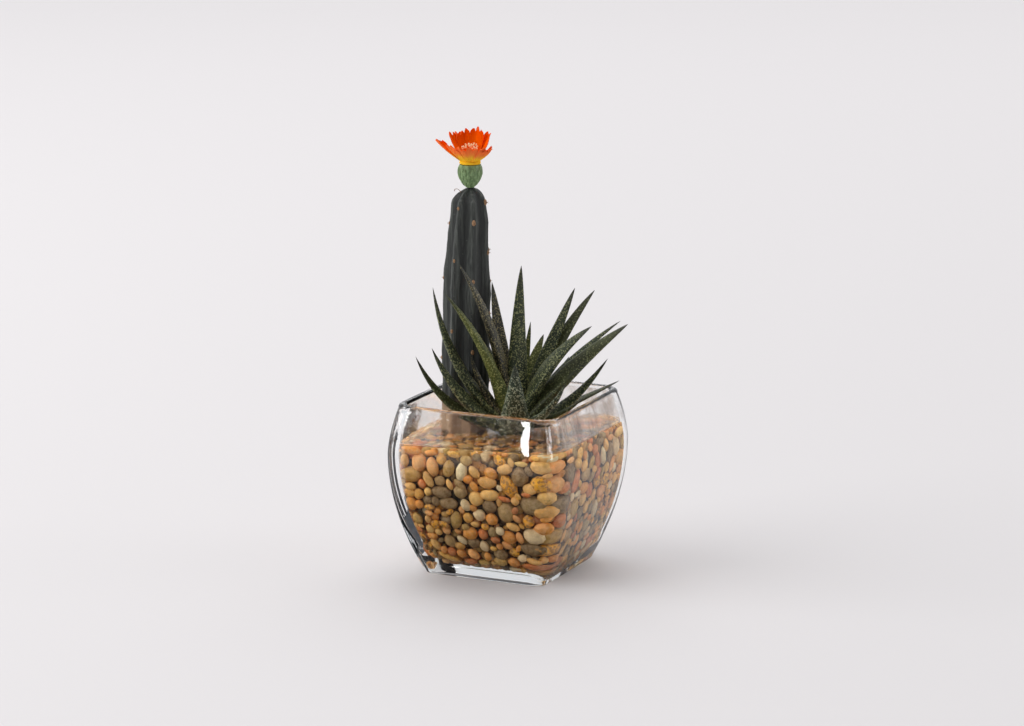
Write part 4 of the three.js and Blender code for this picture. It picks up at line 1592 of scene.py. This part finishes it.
# ----------------------------------------------------------------------- cactus
@dataclass
class Cactus:
    """The dark ribbed column, its felt cushions and one curled spine."""

    foot: tuple[float, float, float] = (-28.4, 0.5, 34.0)
    top_z: float = 223.0
    lean: float = 3.0
    radius: float = 14.6
    ribs: int = 7
    rib_depth: float = 0.2
    narrowing: float = 0.33
    narrowing_length: float = 65.0
    dome: float = 9.0
    areole: float = 1.1
    per_rib: int = 12
    rows: int = 52
    dome_rows: int = 10
    shown: tuple[tuple[int, float, float], ...] = (
        (0, 215.0, 1.2), (0, 185.5, 1.0), (0, 149.5, 1.0), (6, 204.0, 1.15), (6, 169.5, 0.95),
        (6, 128.0, 1.0), (6, 104.0, 0.9), (5, 181.5, 0.8), (5, 212.0, 0.75), (5, 140.0, 0.85),
        (4, 202.0, 0.8), (4, 169.8, 0.8), (4, 122.0, 0.9),
    )
    hidden: tuple[int, ...] = (1, 2, 3)
    hidden_rows: int = 4
    curl_path: tuple[tuple[float, float, float], ...] = (
        (-4.2, -3.0, -3.0), (-5.6, -3.4, -1.2), (-7.0, -4.0, -0.6), (-8.0, -4.4, -1.2),
        (-7.9, -4.2, -2.0),
    )
    skin: CactusFinish = CactusFinish()
    felt: SoftFinish = SoftFinish(
        "cactus_felt", (0.2, 0.1, 0.045), (0.5, 0.3, 0.16), 900.0, 0.8, 0.15
    )

    def axis(self, z: float) -> tuple[float, float]:
        """Where the column's axis lies at a height."""
        share = (z - self.foot[2]) / (self.top_z - self.foot[2])
        return self.foot[0] + self.lean * share**2, self.foot[1] + share / 2

    def radius_at(self, z: float) -> float:
        """The crests' distance from the axis at a height.

        Args:
            z: the height.

        Returns:
            The distance.
        """
        down = self.top_z - z
        fade = max(0.0, 1 - down / self.narrowing_length) ** 1.5
        slow = 1 - self.narrowing * fade
        dome = math.sqrt(max(0.0, 1 - max(0.0, 1 - down / self.dome) ** 2))
        return self.radius * slow * max(dome, 0.25)

    def column(self) -> bpy.types.Object:
        """Raises the ribbed column ring by ring and lumps it a little.

        Returns:
            The column with its crest attribute.
        """
        outline, crest = [], []
        for step in range(self.ribs * self.per_rib):
            turn = step / self.per_rib
            ridge = abs(math.sin(turn * math.pi)) ** 1.6
            angle = turn * 2 * math.pi / self.ribs
            reach = self.radius * (1 - self.rib_depth * ridge)
            outline.append((reach * math.cos(angle), reach * math.sin(angle)))
            crest.append(1 - ridge)
        heights = list(np.linspace(self.foot[2], self.top_z - self.dome, self.rows))
        heights += [self.top_z - self.dome * (1 - math.sin(t)) for t in
                    np.linspace(0.15, math.pi / 2, self.dome_rows)]
        levels = [(*self.axis(z), z, self.radius_at(z) / self.radius) for z in heights]
        column = tower("column", outline, levels)
        place = column.data.attributes["place"].data
        write(column, "crest", np.array([crest[item.value] for item in place]))
        lump(column, grain=16, height=2.4, level=0.55)
        dress(column, self.skin.make())
        return column

    def cushions(self, column: bpy.types.Object) -> list[bpy.types.Object]:
        """Seats felt cushions with stub spines along the crests.

        Args:
            column: the column that they sit on.

        Returns:
            The cushions.
        """
        rng = random.Random(7)
        pad = fresh("ico_sphere", subdivisions=2, radius=self.areole * MM)
        stretch(pad, (0.75, 0.9, 1.45))
        with editing(pad):
            for heading, tilt in ((0.0, 0.5), (0.7, -0.3), (-0.7, 0.1)):
                bpy.ops.mesh.primitive_cone_add(
                    vertices=5, radius1=0.16 * MM, radius2=0.03 * MM, depth=1.8 * MM,
                    location=(1.1 * MM, 0.35 * heading * MM, 0.5 * tilt * MM),
                    rotation=(0, math.pi / 2 - tilt, heading),
                )
        dress(pad, self.felt.make())
        spots = list(self.shown)
        for rib in self.hidden:
            for row in range(self.hidden_rows):
                spots.append((rib, 100 + (row + 0.7 * rng.random()) * 28, rng.uniform(0.8, 1.1)))
        pads = []
        for rib, z, size in spots:
            angle = rib * 2 * math.pi / self.ribs
            aim = Vector((math.cos(angle), math.sin(angle), 0))
            start = Vector((*self.axis(z), z)) * MM + aim * 30 * MM
            hit, at, _, _ = column.ray_cast(start, -aim)
            if hit:
                spin = Matrix.Rotation(angle, 4, "Z") @ Matrix.Diagonal((size, size, size, 1))
                pads.append(placed(pad, Matrix.Translation(at - aim * 0.25 * MM) @ spin))
        discard(pad)
        return pads

    def curl(self) -> bpy.types.Object:
        """Bends the one long spine that curls out beside the flower's foot.

        Returns:
            The spine.
        """
        line = bpy.data.curves.new("curled_spine", "CURVE")
        line.dimensions = "3D"
        line.bevel_depth = 0.17 * MM
        line.bevel_resolution = 2
        line.use_fill_caps = True
        x, y = self.axis(self.top_z)
        spline = line.splines.new("BEZIER")
        spline.bezier_points.add(len(self.curl_path) - 1)
        for knot, (dx, dy, dz) in zip(spline.bezier_points, self.curl_path):
            knot.co = Vector((x + dx, y + dy, self.top_z + dz)) * MM
            knot.handle_left_type = knot.handle_right_type = "AUTO"
        only(linked("curled_spine", line))
        bpy.ops.object.convert(target="MESH")
        spine = bpy.context.active_object
        dress(spine, self.felt.make())
        return spine

    def build(self) -> bpy.types.Object:
        """Joins the column, its cushions and its spine.

        Returns:
            The finished cactus.
        """
        column = self.column()
        piece = join("column_cactus", [column, *self.cushions(column), self.curl()])
        smooth(piece, 60)
        hand_over(piece, Slot.CACTUS, "cactus_column")
        return piece


# ----------------------------------------------------------------------- flower
@dataclass
class Flower:
    """The green receptacle, the frayed petals and the tuft of stamens."""

    cactus: Cactus
    radius: float = 7.2
    height: float = 13.4
    ribs: int = 10
    cup_height: float = 2.4
    cup: tuple[tuple[float, float], ...] = (
        (5.6, 0.0), (6.1, 0.25), (6.3, 0.8), (6.1, 1.5), (5.5, 2.1), (4.6, 2.4),
    )
    rows: int = 22
    scale_rows: int = 5
    stamen_count: int = 26
    stamen_length: float = 7.0
    petal_length: float = 20.5
    petal_width: float = 12.0
    petal_root: float = 2.2
    petals: tuple[tuple[float, float, float], ...] = (
        (200, 56, 1.15), (165, 32, 1.08), (135, 26, 1.05), (95, 22, 1.12), (55, 34, 1.0),
        (20, 52, 0.74), (345, 55, 0.75), (318, 50, 0.8), (272, 50, 0.8), (235, 50, 0.85),
    )
    green: SoftFinish = SoftFinish(
        "receptacle_skin", (0.1, 0.18, 0.065), (0.29, 0.42, 0.19), 420.0, 0.55, 0.2
    )
    inside: PetalFinish = PetalFinish(
        "petal_inside", (1.0, 0.6, 0.02), (1.0, 0.16, 0.002), (0.97, 0.09, 0.001),
        (0.1, 0.35),
    )
    outside: PetalFinish = PetalFinish(
        "petal_outside", (1.0, 0.62, 0.03), (1.0, 0.32, 0.07), (1.0, 0.17, 0.04),
        (0.42, 0.85),
    )
    cream: SoftFinish = SoftFinish(
        "stamen_cream", (0.95, 0.62, 0.3), (1.0, 0.86, 0.56), 900.0, 0.6, 0.05
    )

    def __post_init__(self) -> None:
        """Finds where the flower stands."""
        self.x, self.y = self.cactus.axis(self.cactus.top_z)
        self.foot = self.cactus.top_z + GAP
        self.top = self.foot + self.height

    def belly(self, rise: float) -> float:
        """The receptacle's radius at a share of its height."""
        return self.radius * math.sin(math.pi * (0.1 + 0.58 * rise)) ** 0.9

    def receptacle(self) -> bpy.types.Object:
        """Raises the ribbed green body and lays pointed scales on it.

        Returns:
            The finished receptacle.
        """
        outline = []
        for across, up in circle(self.ribs * 6):
            reach = 0.965 + 0.035 * math.cos(math.atan2(up, across) * self.ribs)
            outline.append((reach * across, reach * up))
        levels = []
        for row in range(self.rows + 1):
            rise = row / self.rows
            levels.append((self.x, self.y, self.foot + self.height * rise, self.belly(rise)))
        body = tower("receptacle_body", outline, levels)
        scale = self.scale_template()
        scales = []
        for row in range(self.scale_rows):
            rise = 0.2 + 0.16 * row
            spot = Vector((self.x, self.y, self.foot + self.height * rise)) * MM
            gain = self.belly(rise + 0.05) - self.belly(rise - 0.05)
            lean = Matrix.Rotation(math.atan2(gain, 0.1 * self.height), 4, "Y")
            lean = Matrix.Translation((self.belly(rise) * 0.975 * MM, 0, 0)) @ lean
            for number in range(self.ribs):
                turn = Matrix.Rotation(math.tau * (number + (row % 2) / 2) / self.ribs, 4, "Z")
                scales.append(placed(scale, Matrix.Translation(spot) @ turn @ lean))
        discard(scale)
        piece = join("flower_receptacle_body", [body, *scales])
        dress(piece, self.green.make())
        smooth(piece, 45)
        hand_over(piece, Slot.RECEPTACLE, "flower_receptacle")
        return piece

    def scale_template(self) -> bpy.types.Object:
        """Models one small pointed scale, thick in its middle.

        Returns:
            The scale, standing at the origin and facing +X.
        """
        scale = fresh("ico_sphere", subdivisions=2, radius=MM)
        stretch(scale, (0.38, 1.15, 2.1))
        stretch(scale, (0.7, 0.5, 1.1), lambda v: v.co.z > 0.6 * MM)
        return scale

    def petal(
        self, heading: float, lean: float, share: float, rng: random.Random
    ) -> bpy.types.Object:
        """Shapes one ruffled petal with a frayed tip from a flat grid.

        Args:
            heading: its direction round the flower, in degrees.
            lean: its slope from upright, in degrees.
            share: its length as a share of the full petal.
            rng: the seeded draws.

        Returns:
            The petal, with its thickness still a modifier.
        """
        across, along = 28, 14
        petal = fresh("grid", x_subdivisions=across, y_subdivisions=along, size=2)
        teeth = 4
        drops = [rng.uniform(-0.1, 0.02) for _ in range(teeth + 1)]
        fray = []
        for column in range(across + 1):
            spot = column / across * teeth
            notch = abs(spot % 1 - 0.5) * 2
            fray.append(drops[int(spot)] - 0.1 * notch**2 + rng.uniform(-0.025, 0.02))
        wave = rng.uniform(0, 6.28)
        length = self.petal_length * share
        turn = math.radians(heading)
        tilt = math.radians(lean)
        run, sides = [], []
        for vertex in petal.data.vertices:
            side, part = vertex.co.x, (vertex.co.y + 1) / 2
            column = round((side + 1) / 2 * across)
            edge = 1 - 0.16 * side * side + fray[column] * part**5
            reach = part * length * edge
            half = self.petal_width / 2 * (0.42 + 0.58 * math.sin(math.pi / 2 * part))
            opening = tilt * (1.12 - 0.2 * part)
            ruffle = 0.55 * part**2 * math.sin(side * 5 + wave)
            lift = ruffle - 0.16 * half * side * side
            out = self.petal_root + reach * math.sin(opening) + lift * math.cos(opening)
            up = reach * math.cos(opening) - lift * math.sin(opening)
            spot = Vector((out, side * half, up))
            spot.rotate(Matrix.Rotation(turn, 3, "Z"))
            vertex.co = (spot + Vector((self.x, self.y, self.top + GAP))) * MM
            run.append(part)
            sides.append(side)
        write(petal, "share", np.array(run))
        write(petal, "side", np.array(sides) + heading)
        shell = petal.modifiers.new("thickness", "SOLIDIFY")
        shell.thickness = 0.45 * MM
        shell.offset = 0.0
        shell.material_offset = 1
        shell.material_offset_rim = 0
        return petal

    def bloom(self) -> bpy.types.Object:
        """Sets the petals round their yellow cup.

        Returns:
            The finished bloom.
        """
        rng = random.Random(21)
        inside, outside = self.inside.make(), self.outside.make()
        parts = []
        for row in self.petals:
            petal = self.petal(*row, rng)
            dress(petal, outside, inside)
            apply_modifiers(petal)
            parts.append(petal)
        base = self.top + GAP
        cup = tower("cup", circle(30), [(self.x, self.y, base + z, r) for r, z in self.cup])
        for name in ("share", "side"):
            write(cup, name, np.zeros(len(cup.data.vertices)))
        dress(cup, outside)
        piece = join("orange_petals", [*parts, cup])
        smooth(piece, 70)
        hand_over(piece, Slot.PETAL, "flower_petals")
        return piece

    def stamens(self) -> bpy.types.Object:
        """Models one thread with its knob and spreads copies of it into a tuft.

        Returns:
            The finished tuft.
        """
        seat_z = self.top + 2 * GAP + self.cup_height
        rng = random.Random(5)
        thread = fresh(
            "cylinder", vertices=6, radius=0.26 * MM, depth=MM, location=(0, 0, MM / 2)
        )
        with editing(thread):
            bpy.ops.mesh.select_all(action="SELECT")
            bpy.ops.mesh.bisect(plane_co=(0, 0, 0.5 * MM), plane_no=(0, 0, 1))
        knob = fresh("ico_sphere", subdivisions=2, radius=0.62 * MM)
        stretch(knob, (0.75, 1, 1.25))
        parts = []
        for number in range(self.stamen_count):
            length = self.stamen_length * (1 + 0.3 * rng.random())
            turn = math.radians(137.5 * number)
            tilt = 0.1 + 0.56 * math.sqrt(number / self.stamen_count)
            frame = Matrix.Translation(Vector((self.x, self.y, seat_z + 0.2)) * MM)
            frame = frame @ Matrix.Rotation(turn, 4, "Z") @ Matrix.Rotation(tilt, 4, "Y")
            parts.append(placed(thread, frame @ Matrix.Diagonal((1, 1, length, 1))))
            parts.append(placed(knob, frame @ Matrix.Translation((0, 0, length * MM))))
        discard(thread)
        discard(knob)
        seat = tower("seat", circle(16), [
            (self.x, self.y, seat_z, 1.6), (self.x, self.y, seat_z + 0.9, 1.5),
            (self.x, self.y, seat_z + 1.4, 0.9),
        ])
        piece = join("stamen_tuft", [seat, *parts])
        dress(piece, self.cream.make())
        smooth(piece, 60)
        hand_over(piece, Slot.STAMEN, "flower_stamens")
        return piece

    def build(self) -> None:
        """Builds the receptacle, the bloom and the stamens."""
        self.receptacle()
        self.bloom()
        self.stamens()


# ---------------------------------------------------------------------- rosette
@dataclass(frozen=True)
class Leaf:
    """One leaf: where it points, how far it reaches and how it bends and rolls."""

    name: str
    heading: float
    reach: float
    rise: float
    bend_out: float
    bend_up: float
    width: float
    roll: float
    slot: Slot


LEAVES = (
    Leaf("front", 295, 38, 45, 0.7, 0.25, 14, 0, Slot.LEAF_BLUE),
    Leaf("front_right_small", 336, 44, 33, 0.65, 0.3, 10, 20, Slot.LEAF_BLUE),
    Leaf("front_left_tall", 236, 47, 84, 0.25, 0.55, 13, -25, Slot.LEAF_LIME),
    Leaf("middle_tall", 350, 4.5, 96, 0.2, 0.5, 10, -55, Slot.LEAF_GREEN),
    Leaf("right_long", 16, 66, 63, 0.4, 0.55, 15, 30, Slot.LEAF_DARK),
    Leaf("right_speckled", 5, 47, 63, 0.25, 0.6, 14, 35, Slot.LEAF_GREEN),
    Leaf("left_tall_brown", 222, 34, 99, 0.15, 0.55, 12, -30, Slot.LEAF_BROWN),
    Leaf("left_tall", 214, 48, 84, 0.8, 0.35, 10, -30, Slot.LEAF_GREEN),
    Leaf("left_low", 228, 52, 51, 0.65, 0.25, 11.5, -35, Slot.LEAF_GREEN),
    Leaf("left_lowest", 212, 58, 43, 0.7, 0.1, 8, -35, Slot.LEAF_DARK),
    Leaf("right_low", 22, 54, 41, 0.55, 0.15, 8.5, 30, Slot.LEAF_GREEN),
    Leaf("left_upright", 188, 14, 85, 0.6, 0.55, 9.5, -45, Slot.LEAF_BROWN),
    Leaf("back_right_tall", 44, 37, 80, 0.6, 0.6, 9, 35, Slot.LEAF_GREEN),
    Leaf("back_right_leaning", 43, 49, 78, 0.5, 0.65, 9, 35, Slot.LEAF_DARK),
    Leaf("left_short_dark", 220, 27, 46, 0.75, 0.45, 9, -20, Slot.LEAF_BROWN),
    Leaf("back_short", 83, 32, 49, 0.5, 0.65, 9, 20, Slot.LEAF_LIME),
    Leaf("back_slim", 95, 27, 57, 0.6, 0.5, 6, 0, Slot.LEAF_LIME),
    Leaf("back_inner", 104, 27, 59, 0.4, 0.5, 7, 0, Slot.LEAF_GREEN),
    Leaf("back_right_slim", 37, 63, 60, 0.4, 0.6, 7, 25, Slot.LEAF_GREEN),
    Leaf("back_right_lowest", 38, 63, 24, 0.55, 0.5, 6, 15, Slot.LEAF_DARK),
    Leaf("back_low", 116, 48, 32, 0.6, 0.3, 9, 0, Slot.LEAF_GREEN),
    Leaf("back_left", 140, 38, 42, 0.55, 0.35, 9, -15, Slot.LEAF_GREEN),
    Leaf("back_right_low", 72, 47, 34, 0.55, 0.3, 9, 10, Slot.LEAF_BLUE),
    Leaf("right_under", 352, 46, 22, 0.6, 0.3, 8, 20, Slot.LEAF_DARK),
)

LEAF_FINISHES = {
    Slot.LEAF_GREEN: LeafFinish(
        "leaf_green", (0.042, 0.056, 0.022), (0.02, 0.031, 0.014), (0.4, 0.41, 0.18), 0.62
    ),
    Slot.LEAF_LIME: LeafFinish(
        "leaf_lime", (0.075, 0.098, 0.02), (0.034, 0.05, 0.018), (0.46, 0.46, 0.16), 0.55,
        (0.12, 0.13, 0.022),
    ),
    Slot.LEAF_BROWN: LeafFinish(
        "leaf_brown", (0.04, 0.036, 0.02), (0.018, 0.017, 0.011), (0.4, 0.34, 0.17), 0.62
    ),
    Slot.LEAF_BLUE: LeafFinish(
        "leaf_blue", (0.05, 0.074, 0.042), (0.026, 0.042, 0.026), (0.65, 0.68, 0.46), 0.62
    ),
    Slot.LEAF_DARK: LeafFinish(
        "leaf_dark", (0.045, 0.048, 0.02), (0.02, 0.024, 0.013), (0.26, 0.28, 0.12), 0.35,
        (0.065, 0.075, 0.018),
    ),
}


@dataclass
class Rosette:
    """The speckled rosette: a short crown and its 24 pointed leaves."""

    axis: tuple[float, float] = (4.0, -0.5)
    root_z: float = 84.0
    root_reach: float = 2.0
    root_climb: float = 5.0
    rows: int = 34
    fullness: float = 1.26
    studs_per_area: float = 0.3
    studs_by_cover: float = 1.6
    crown_skin: SoftFinish = SoftFinish(
        "crown_skin", (0.03, 0.07, 0.02), (0.1, 0.2, 0.05), 240.0, 0.5, 0.2
    )

    def crown(self) -> bpy.types.Object:
        """Raises the short stem, ringed by leaf scars.

        Returns:
            The finished crown.
        """
        profile = ((0.4, 58.3), (4, 61), (7.5, 70), (8.5, 80), (7, 87), (3.5, 91.5), (0.5, 93))
        radii = [r for r, _ in profile]
        heights = [z for _, z in profile]
        levels = []
        for z in np.linspace(heights[0], heights[-1], 26):
            ring = 1 + 0.04 * math.sin(z * 1.9)
            levels.append((*self.axis, float(z), float(np.interp(z, heights, radii)) * ring))
        piece = tower("rosette_stem", circle(28), levels)
        dress(piece, self.crown_skin.make())
        smooth(piece, 60)
        hand_over(piece, Slot.CROWN, "rosette_crown")
        return piece

    def template(self) -> tuple[np.ndarray, list[tuple[int, ...]]]:
        """Models one straight leaf of unit size: keeled below, hollowed above.

        Returns:
            Its points (side, height, run) and its faces.
        """
        count = 16
        outline = []
        for step in range(count):
            turn = step * 2 * math.pi / count
            side = 0.5 * math.copysign(abs(math.cos(turn)) ** 0.8, math.cos(turn))
            if math.sin(turn) > 0:
                height = 0.12 * math.sin(turn) ** 1.2
            else:
                height = -0.33 * abs(math.sin(turn)) ** 1.15
            outline.append((side, height))
        levels = []
        for row in range(self.rows + 1):
            share = math.sin(row / self.rows * math.pi / 2) ** 0.9
            taper = max((1 - share**2.2) ** 0.74, 0.035)
            size = taper * (1 + 0.25 * (1 - share) ** 3)
            levels.append((0.0, 0.0, share, size))
        piece = tower("leaf_template", outline, levels)
        points, faces = arrays_of(piece)
        discard(piece)
        return points, faces

    def bend(self, leaf: Leaf, points: np.ndarray) -> np.ndarray:
        """Bends straight points along a leaf's own curve.

        Args:
            leaf: the leaf's numbers.
            points: side, height and run of each point, for a unit leaf.

        Returns:
            The points in the object's frame, in millimetres.
        """
        turn = math.radians(leaf.heading)
        outward = Vector((math.cos(turn), math.sin(turn), 0))
        sideways = Vector((-math.sin(turn), math.cos(turn), 0))
        middle = Vector((*self.axis, 0))
        upright = 1 - min(leaf.reach / leaf.rise, 1)
        root = middle + outward * self.root_reach
        root.z = self.root_z + self.root_climb * upright
        knee = middle + outward * leaf.reach * leaf.bend_out
        knee.z = self.root_z + leaf.rise * leaf.bend_up
        tip = middle + outward * leaf.reach
        tip.z = self.root_z + leaf.rise
        bent = np.empty_like(points)
        for place, (side, height, share) in enumerate(points):
            share = min(max(share, 0.0), 1.0)
            spine = root * (1 - share) ** 2 + knee * 2 * share * (1 - share) + tip * share**2
            along = ((knee - root) * (1 - share) + (tip - knee) * share).normalized()
            across = sideways.copy()
            roll = math.radians(leaf.roll) * min(share * 2, 1)
            across.rotate(Matrix.Rotation(roll, 3, along))
            upper = along.cross(across)
            width = leaf.width * (self.fullness + (1 - self.fullness) * share)
            bent[place] = spine + (across * side + upper * height) * width
        return bent

    def studs(
        self, points: np.ndarray, faces: Sequence[Sequence[int]], leaf: Leaf, run: np.ndarray
    ) -> tuple[np.ndarray, list[list[int]], np.ndarray]:
        """Scatters small raised warts over a leaf, most of them low and on its edges.

        Args:
            points: the bent leaf's points.
            faces: its faces.
            leaf: the leaf's numbers, which seed the draws.
            run: how far along the leaf each point lies, from 0 to 1.

        Returns:
            The warts' points, their faces and how far along the leaf each point lies.
        """
        rng = random.Random(leaf.name)
        quads = [face for face in faces if len(face) == 4]
        corners = points[np.array(quads)]
        areas = np.linalg.norm(
            np.cross(corners[:, 2] - corners[:, 0], corners[:, 3] - corners[:, 1]), axis=1
        ) / 2
        shares = run[np.array(quads)].mean(1)
        weights = areas * np.clip(1.15 - shares, 0.05, 1) ** 1.2
        most = int(areas.sum() * self.studs_per_area)
        count = int(most * self.studs_by_cover * LEAF_FINISHES[leaf.slot].cover)
        chosen = rng.choices(range(len(quads)), weights.tolist(), k=count)
        shape = np.array([
            (1, 0, 0), (0, 1, 0), (-1, 0, 0), (0, -1, 0), (0, 0, 1), (0, 0, -1),
        ])
        wart_faces = ((0, 1, 4), (1, 2, 4), (2, 3, 4), (3, 0, 4), (1, 0, 5), (2, 1, 5),
                      (3, 2, 5), (0, 3, 5))
        all_points, all_faces, all_run = [], [], []
        for number in chosen:
            a, b, c, d = corners[number]
            s, t = rng.random(), rng.random()
            spot = (a * (1 - s) + b * s) * (1 - t) + (d * (1 - s) + c * s) * t
            normal = np.cross(c - a, d - b)
            size = np.linalg.norm(normal)
            if size < 1e-9:
                continue
            normal /= size
            hand = (b - a) / max(np.linalg.norm(b - a), 1e-9)
            hand -= normal * (hand @ normal)
            hand /= max(np.linalg.norm(hand), 1e-9)
            other = np.cross(normal, hand)
            wide = rng.uniform(0.2, 0.52) * (0.6 + 0.5 * (1 - shares[number]))
            frame = np.stack((hand * wide, other * wide * rng.uniform(0.8, 1.5),
                              normal * wide * 0.75))
            start = len(all_points)
            all_points.extend(shape @ frame + spot)
            all_faces.extend([[i + start for i in face] for face in wart_faces])
            all_run.extend([shares[number]] * len(shape))
        return np.array(all_points), all_faces, np.array(all_run)

    def build(self) -> None:
        """Builds the crown, then bends, warts and dresses each leaf."""
        self.crown()
        straight, faces = self.template()
        finishes = {slot: kind.make() for slot, kind in LEAF_FINISHES.items()}
        for leaf in LEAVES:
            bent = self.bend(leaf, straight)
            run = np.clip(straight[:, 2], 0, 1)
            warts, wart_faces, wart_run = self.studs(bent, faces, leaf, run)
            start = len(bent)
            points = np.concatenate((bent, warts))
            every = [list(face) for face in faces]
            every += [[i + start for i in face] for face in wart_faces]
            piece = from_arrays("rosette_leaf_" + leaf.name, points, every)
            write(piece, "share", np.concatenate((run, wart_run)))
            write(piece, "stud", np.concatenate((np.zeros(start), np.ones(len(warts)))))
            dress(piece, finishes[leaf.slot])
            smooth(piece, 55)
            hand_over(piece, leaf.slot, "leaf_" + leaf.name)
        LOG.info("rosette: %d leaves", len(LEAVES))


# ----------------------------------------------------------------------- studio
@dataclass(frozen=True)
class Lamp:
    """One soft box: its place, the point that it faces, its size and strength."""

    name: str
    place: tuple[float, float, float]
    width: float
    height: float
    power: float
    aim: tuple[float, float, float] = (0.0, 0.0, 0.1)
    roll: float = 0.0
    shine_only: bool = False


@dataclass
class Studio:
    """The pale floor, the soft lights and the camera."""

    azimuth: float = 25.0
    elevation: float = 12.57
    distance: float = 2.0
    aim: tuple[float, float, float] = (0.00154, 0.00072, 0.1213)
    lens: float = 120.5
    sun: tuple[float, float, float] = (-0.45, 1.2, 1.9)
    sun_power: float = 1.65
    lamps: tuple[Lamp, ...] = (
        Lamp("left_front", (-2.0, -1.2, 1.45), 2.4, 2.2, 45.0),
        Lamp("right_back", (1.9, 0.9, 1.2), 1.0, 1.6, 4.0),
        Lamp("strip", (-0.716, -1.766, 0.46), 0.013, 0.5, 0.5, (0.036, -0.0535, 0.088), 5.0, True),
        Lamp("right_glint", (1.65, -0.98, 0.58), 0.34, 0.6, 6.0, shine_only=True),
        Lamp("far_glint", (1.5, 1.2, 0.55), 0.3, 0.6, 8.0, shine_only=True),
    )
    flags: tuple[tuple[float, float, float, float, float], ...] = (
        (-0.1, -0.026, 0.022, 0.08, 90), (-0.1, -0.002, 0.012, 0.08, 90),
        (-0.1, 0.035, 0.048, 0.08, 90), (-0.078, 0.0, 0.13, 0.05, 0),
        (0.0, -0.17, 0.26, 0.24, 0), (0.52, 0.37, 0.16, 0.5, 90),
    )

    def floor(self) -> bpy.types.Object:
        """Lays the wide pale floor, a little darker in front than far behind, as painted shade.

        Returns:
            The floor.
        """
        floor = fresh("plane", size=30)
        floor.name = "studio_floor"
        material, wires, shader = blank("studio_floor")
        turn = math.radians(self.azimuth)
        away = wires.along(wires.place(), (-math.sin(turn), math.cos(turn), 0.0))
        # Painted shade: the floor is darker toward the camera, along its line of view.
        colour = wires.blend(
            wires.ramp(away, -0.5, 2.6), (0.66, 0.639, 0.643), (0.8, 0.775, 0.78)
        )
        wires.feed_all(shader, Base_Color=colour, Roughness=1.0, Specular_IOR_Level=0.0)
        dress(floor, material)
        return floor

    def world(self) -> None:
        """Sets the surroundings: pale above and behind, dark low down in front."""
        world = bpy.data.worlds.new("studio")
        bpy.context.scene.world = world
        world.use_nodes = True
        wires = Wiring(world.node_tree)
        way = wires.add("TexCoord").outputs["Generated"]
        turn = math.radians(self.azimuth)
        front = wires.along(way, (math.sin(turn), -math.cos(turn), 0.0))
        low = wires.blend(
            wires.ramp(front, -0.1, 0.6), (0.72, 0.74, 0.77), (0.1, 0.105, 0.12)
        )
        high = wires.ramp(wires.height(way), 0.2, 0.75)
        back = world.node_tree.nodes["Background"]
        wires.feed(back, "Color", wires.blend(high, low, (0.5, 0.5, 0.51)))

    def cards(self) -> None:
        """Sets dark cards beside the bowl, which only shine and its glass can show."""
        material, wires, shader = blank("dark_card")
        wires.feed_all(shader, Base_Color=(0.04, 0.046, 0.056), Roughness=0.9)
        for x, y, width, height, pitch in self.flags:
            card = fresh("plane", size=1)
            card.name = "studio_card"
            card.scale = (width, height, 1)
            card.location = (x, y, height / 2 if pitch else 0.0005)
            card.rotation_euler = (math.radians(pitch), 0, math.atan2(y, x) + math.pi / 2)
            dress(card, material)
            card.visible_camera = card.visible_shadow = card.visible_diffuse = False

    def lights(self) -> None:
        """Hangs the soft boxes and one wide, soft sun."""
        data = bpy.data.lights.new("soft_sun", "SUN")
        data.energy = self.sun_power
        data.angle = math.radians(60)
        sun = linked("soft_sun", data)
        sun.rotation_euler = (-Vector(self.sun)).to_track_quat("-Z", "Y").to_euler()
        for lamp in self.lamps:
            data = bpy.data.lights.new(lamp.name, "AREA")
            data.shape = "RECTANGLE"
            data.size, data.size_y = lamp.width, lamp.height
            data.energy = lamp.power
            item = linked(lamp.name, data)
            item.visible_diffuse = not lamp.shine_only
            item.location = lamp.place
            toward = Vector(lamp.aim) - Vector(lamp.place)
            turn = toward.to_track_quat("-Z", "Y").to_matrix()
            turn = turn @ Matrix.Rotation(math.radians(lamp.roll), 3, "Z")
            item.rotation_euler = turn.to_euler()

    def camera(self) -> None:
        """Sets the camera at the photograph's angle."""
        turn, lift = math.radians(self.azimuth), math.radians(self.elevation)
        back = Vector((
            math.sin(turn) * math.cos(lift), -math.cos(turn) * math.cos(lift), math.sin(lift)
        ))
        data = bpy.data.cameras.new("camera")
        data.lens = self.lens
        data.sensor_width = 36.0
        data.sensor_fit = "HORIZONTAL"
        data.clip_end = 100.0
        item = linked("camera", data)
        item.location = Vector(self.aim) + back * self.distance
        item.rotation_euler = (-back).to_track_quat("-Z", "Y").to_euler()
        bpy.context.scene.camera = item

    def build(self) -> None:
        """Builds the whole studio."""
        self.floor()
        self.cards()
        self.world()
        self.lights()
        self.camera()
        scene = bpy.context.scene
        scene.view_settings.view_transform = "Standard"
        scene.cycles.transmission_bounces = 24
        scene.cycles.max_bounces = 24
        scene.cycles.transparent_max_bounces = 24


def main() -> None:
    """Loads the frame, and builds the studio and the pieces."""
    logging.basicConfig(level=logging.INFO, format="%(name)s: %(message)s")
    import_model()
    Studio().build()
    bowl, cactus = Bowl(), Cactus()
    for assembly in (bowl, Fill(bowl), Gravel(bowl), cactus, Flower(cactus), Rosette()):
        assembly.build()


if __name__ == "__main__":
    main()
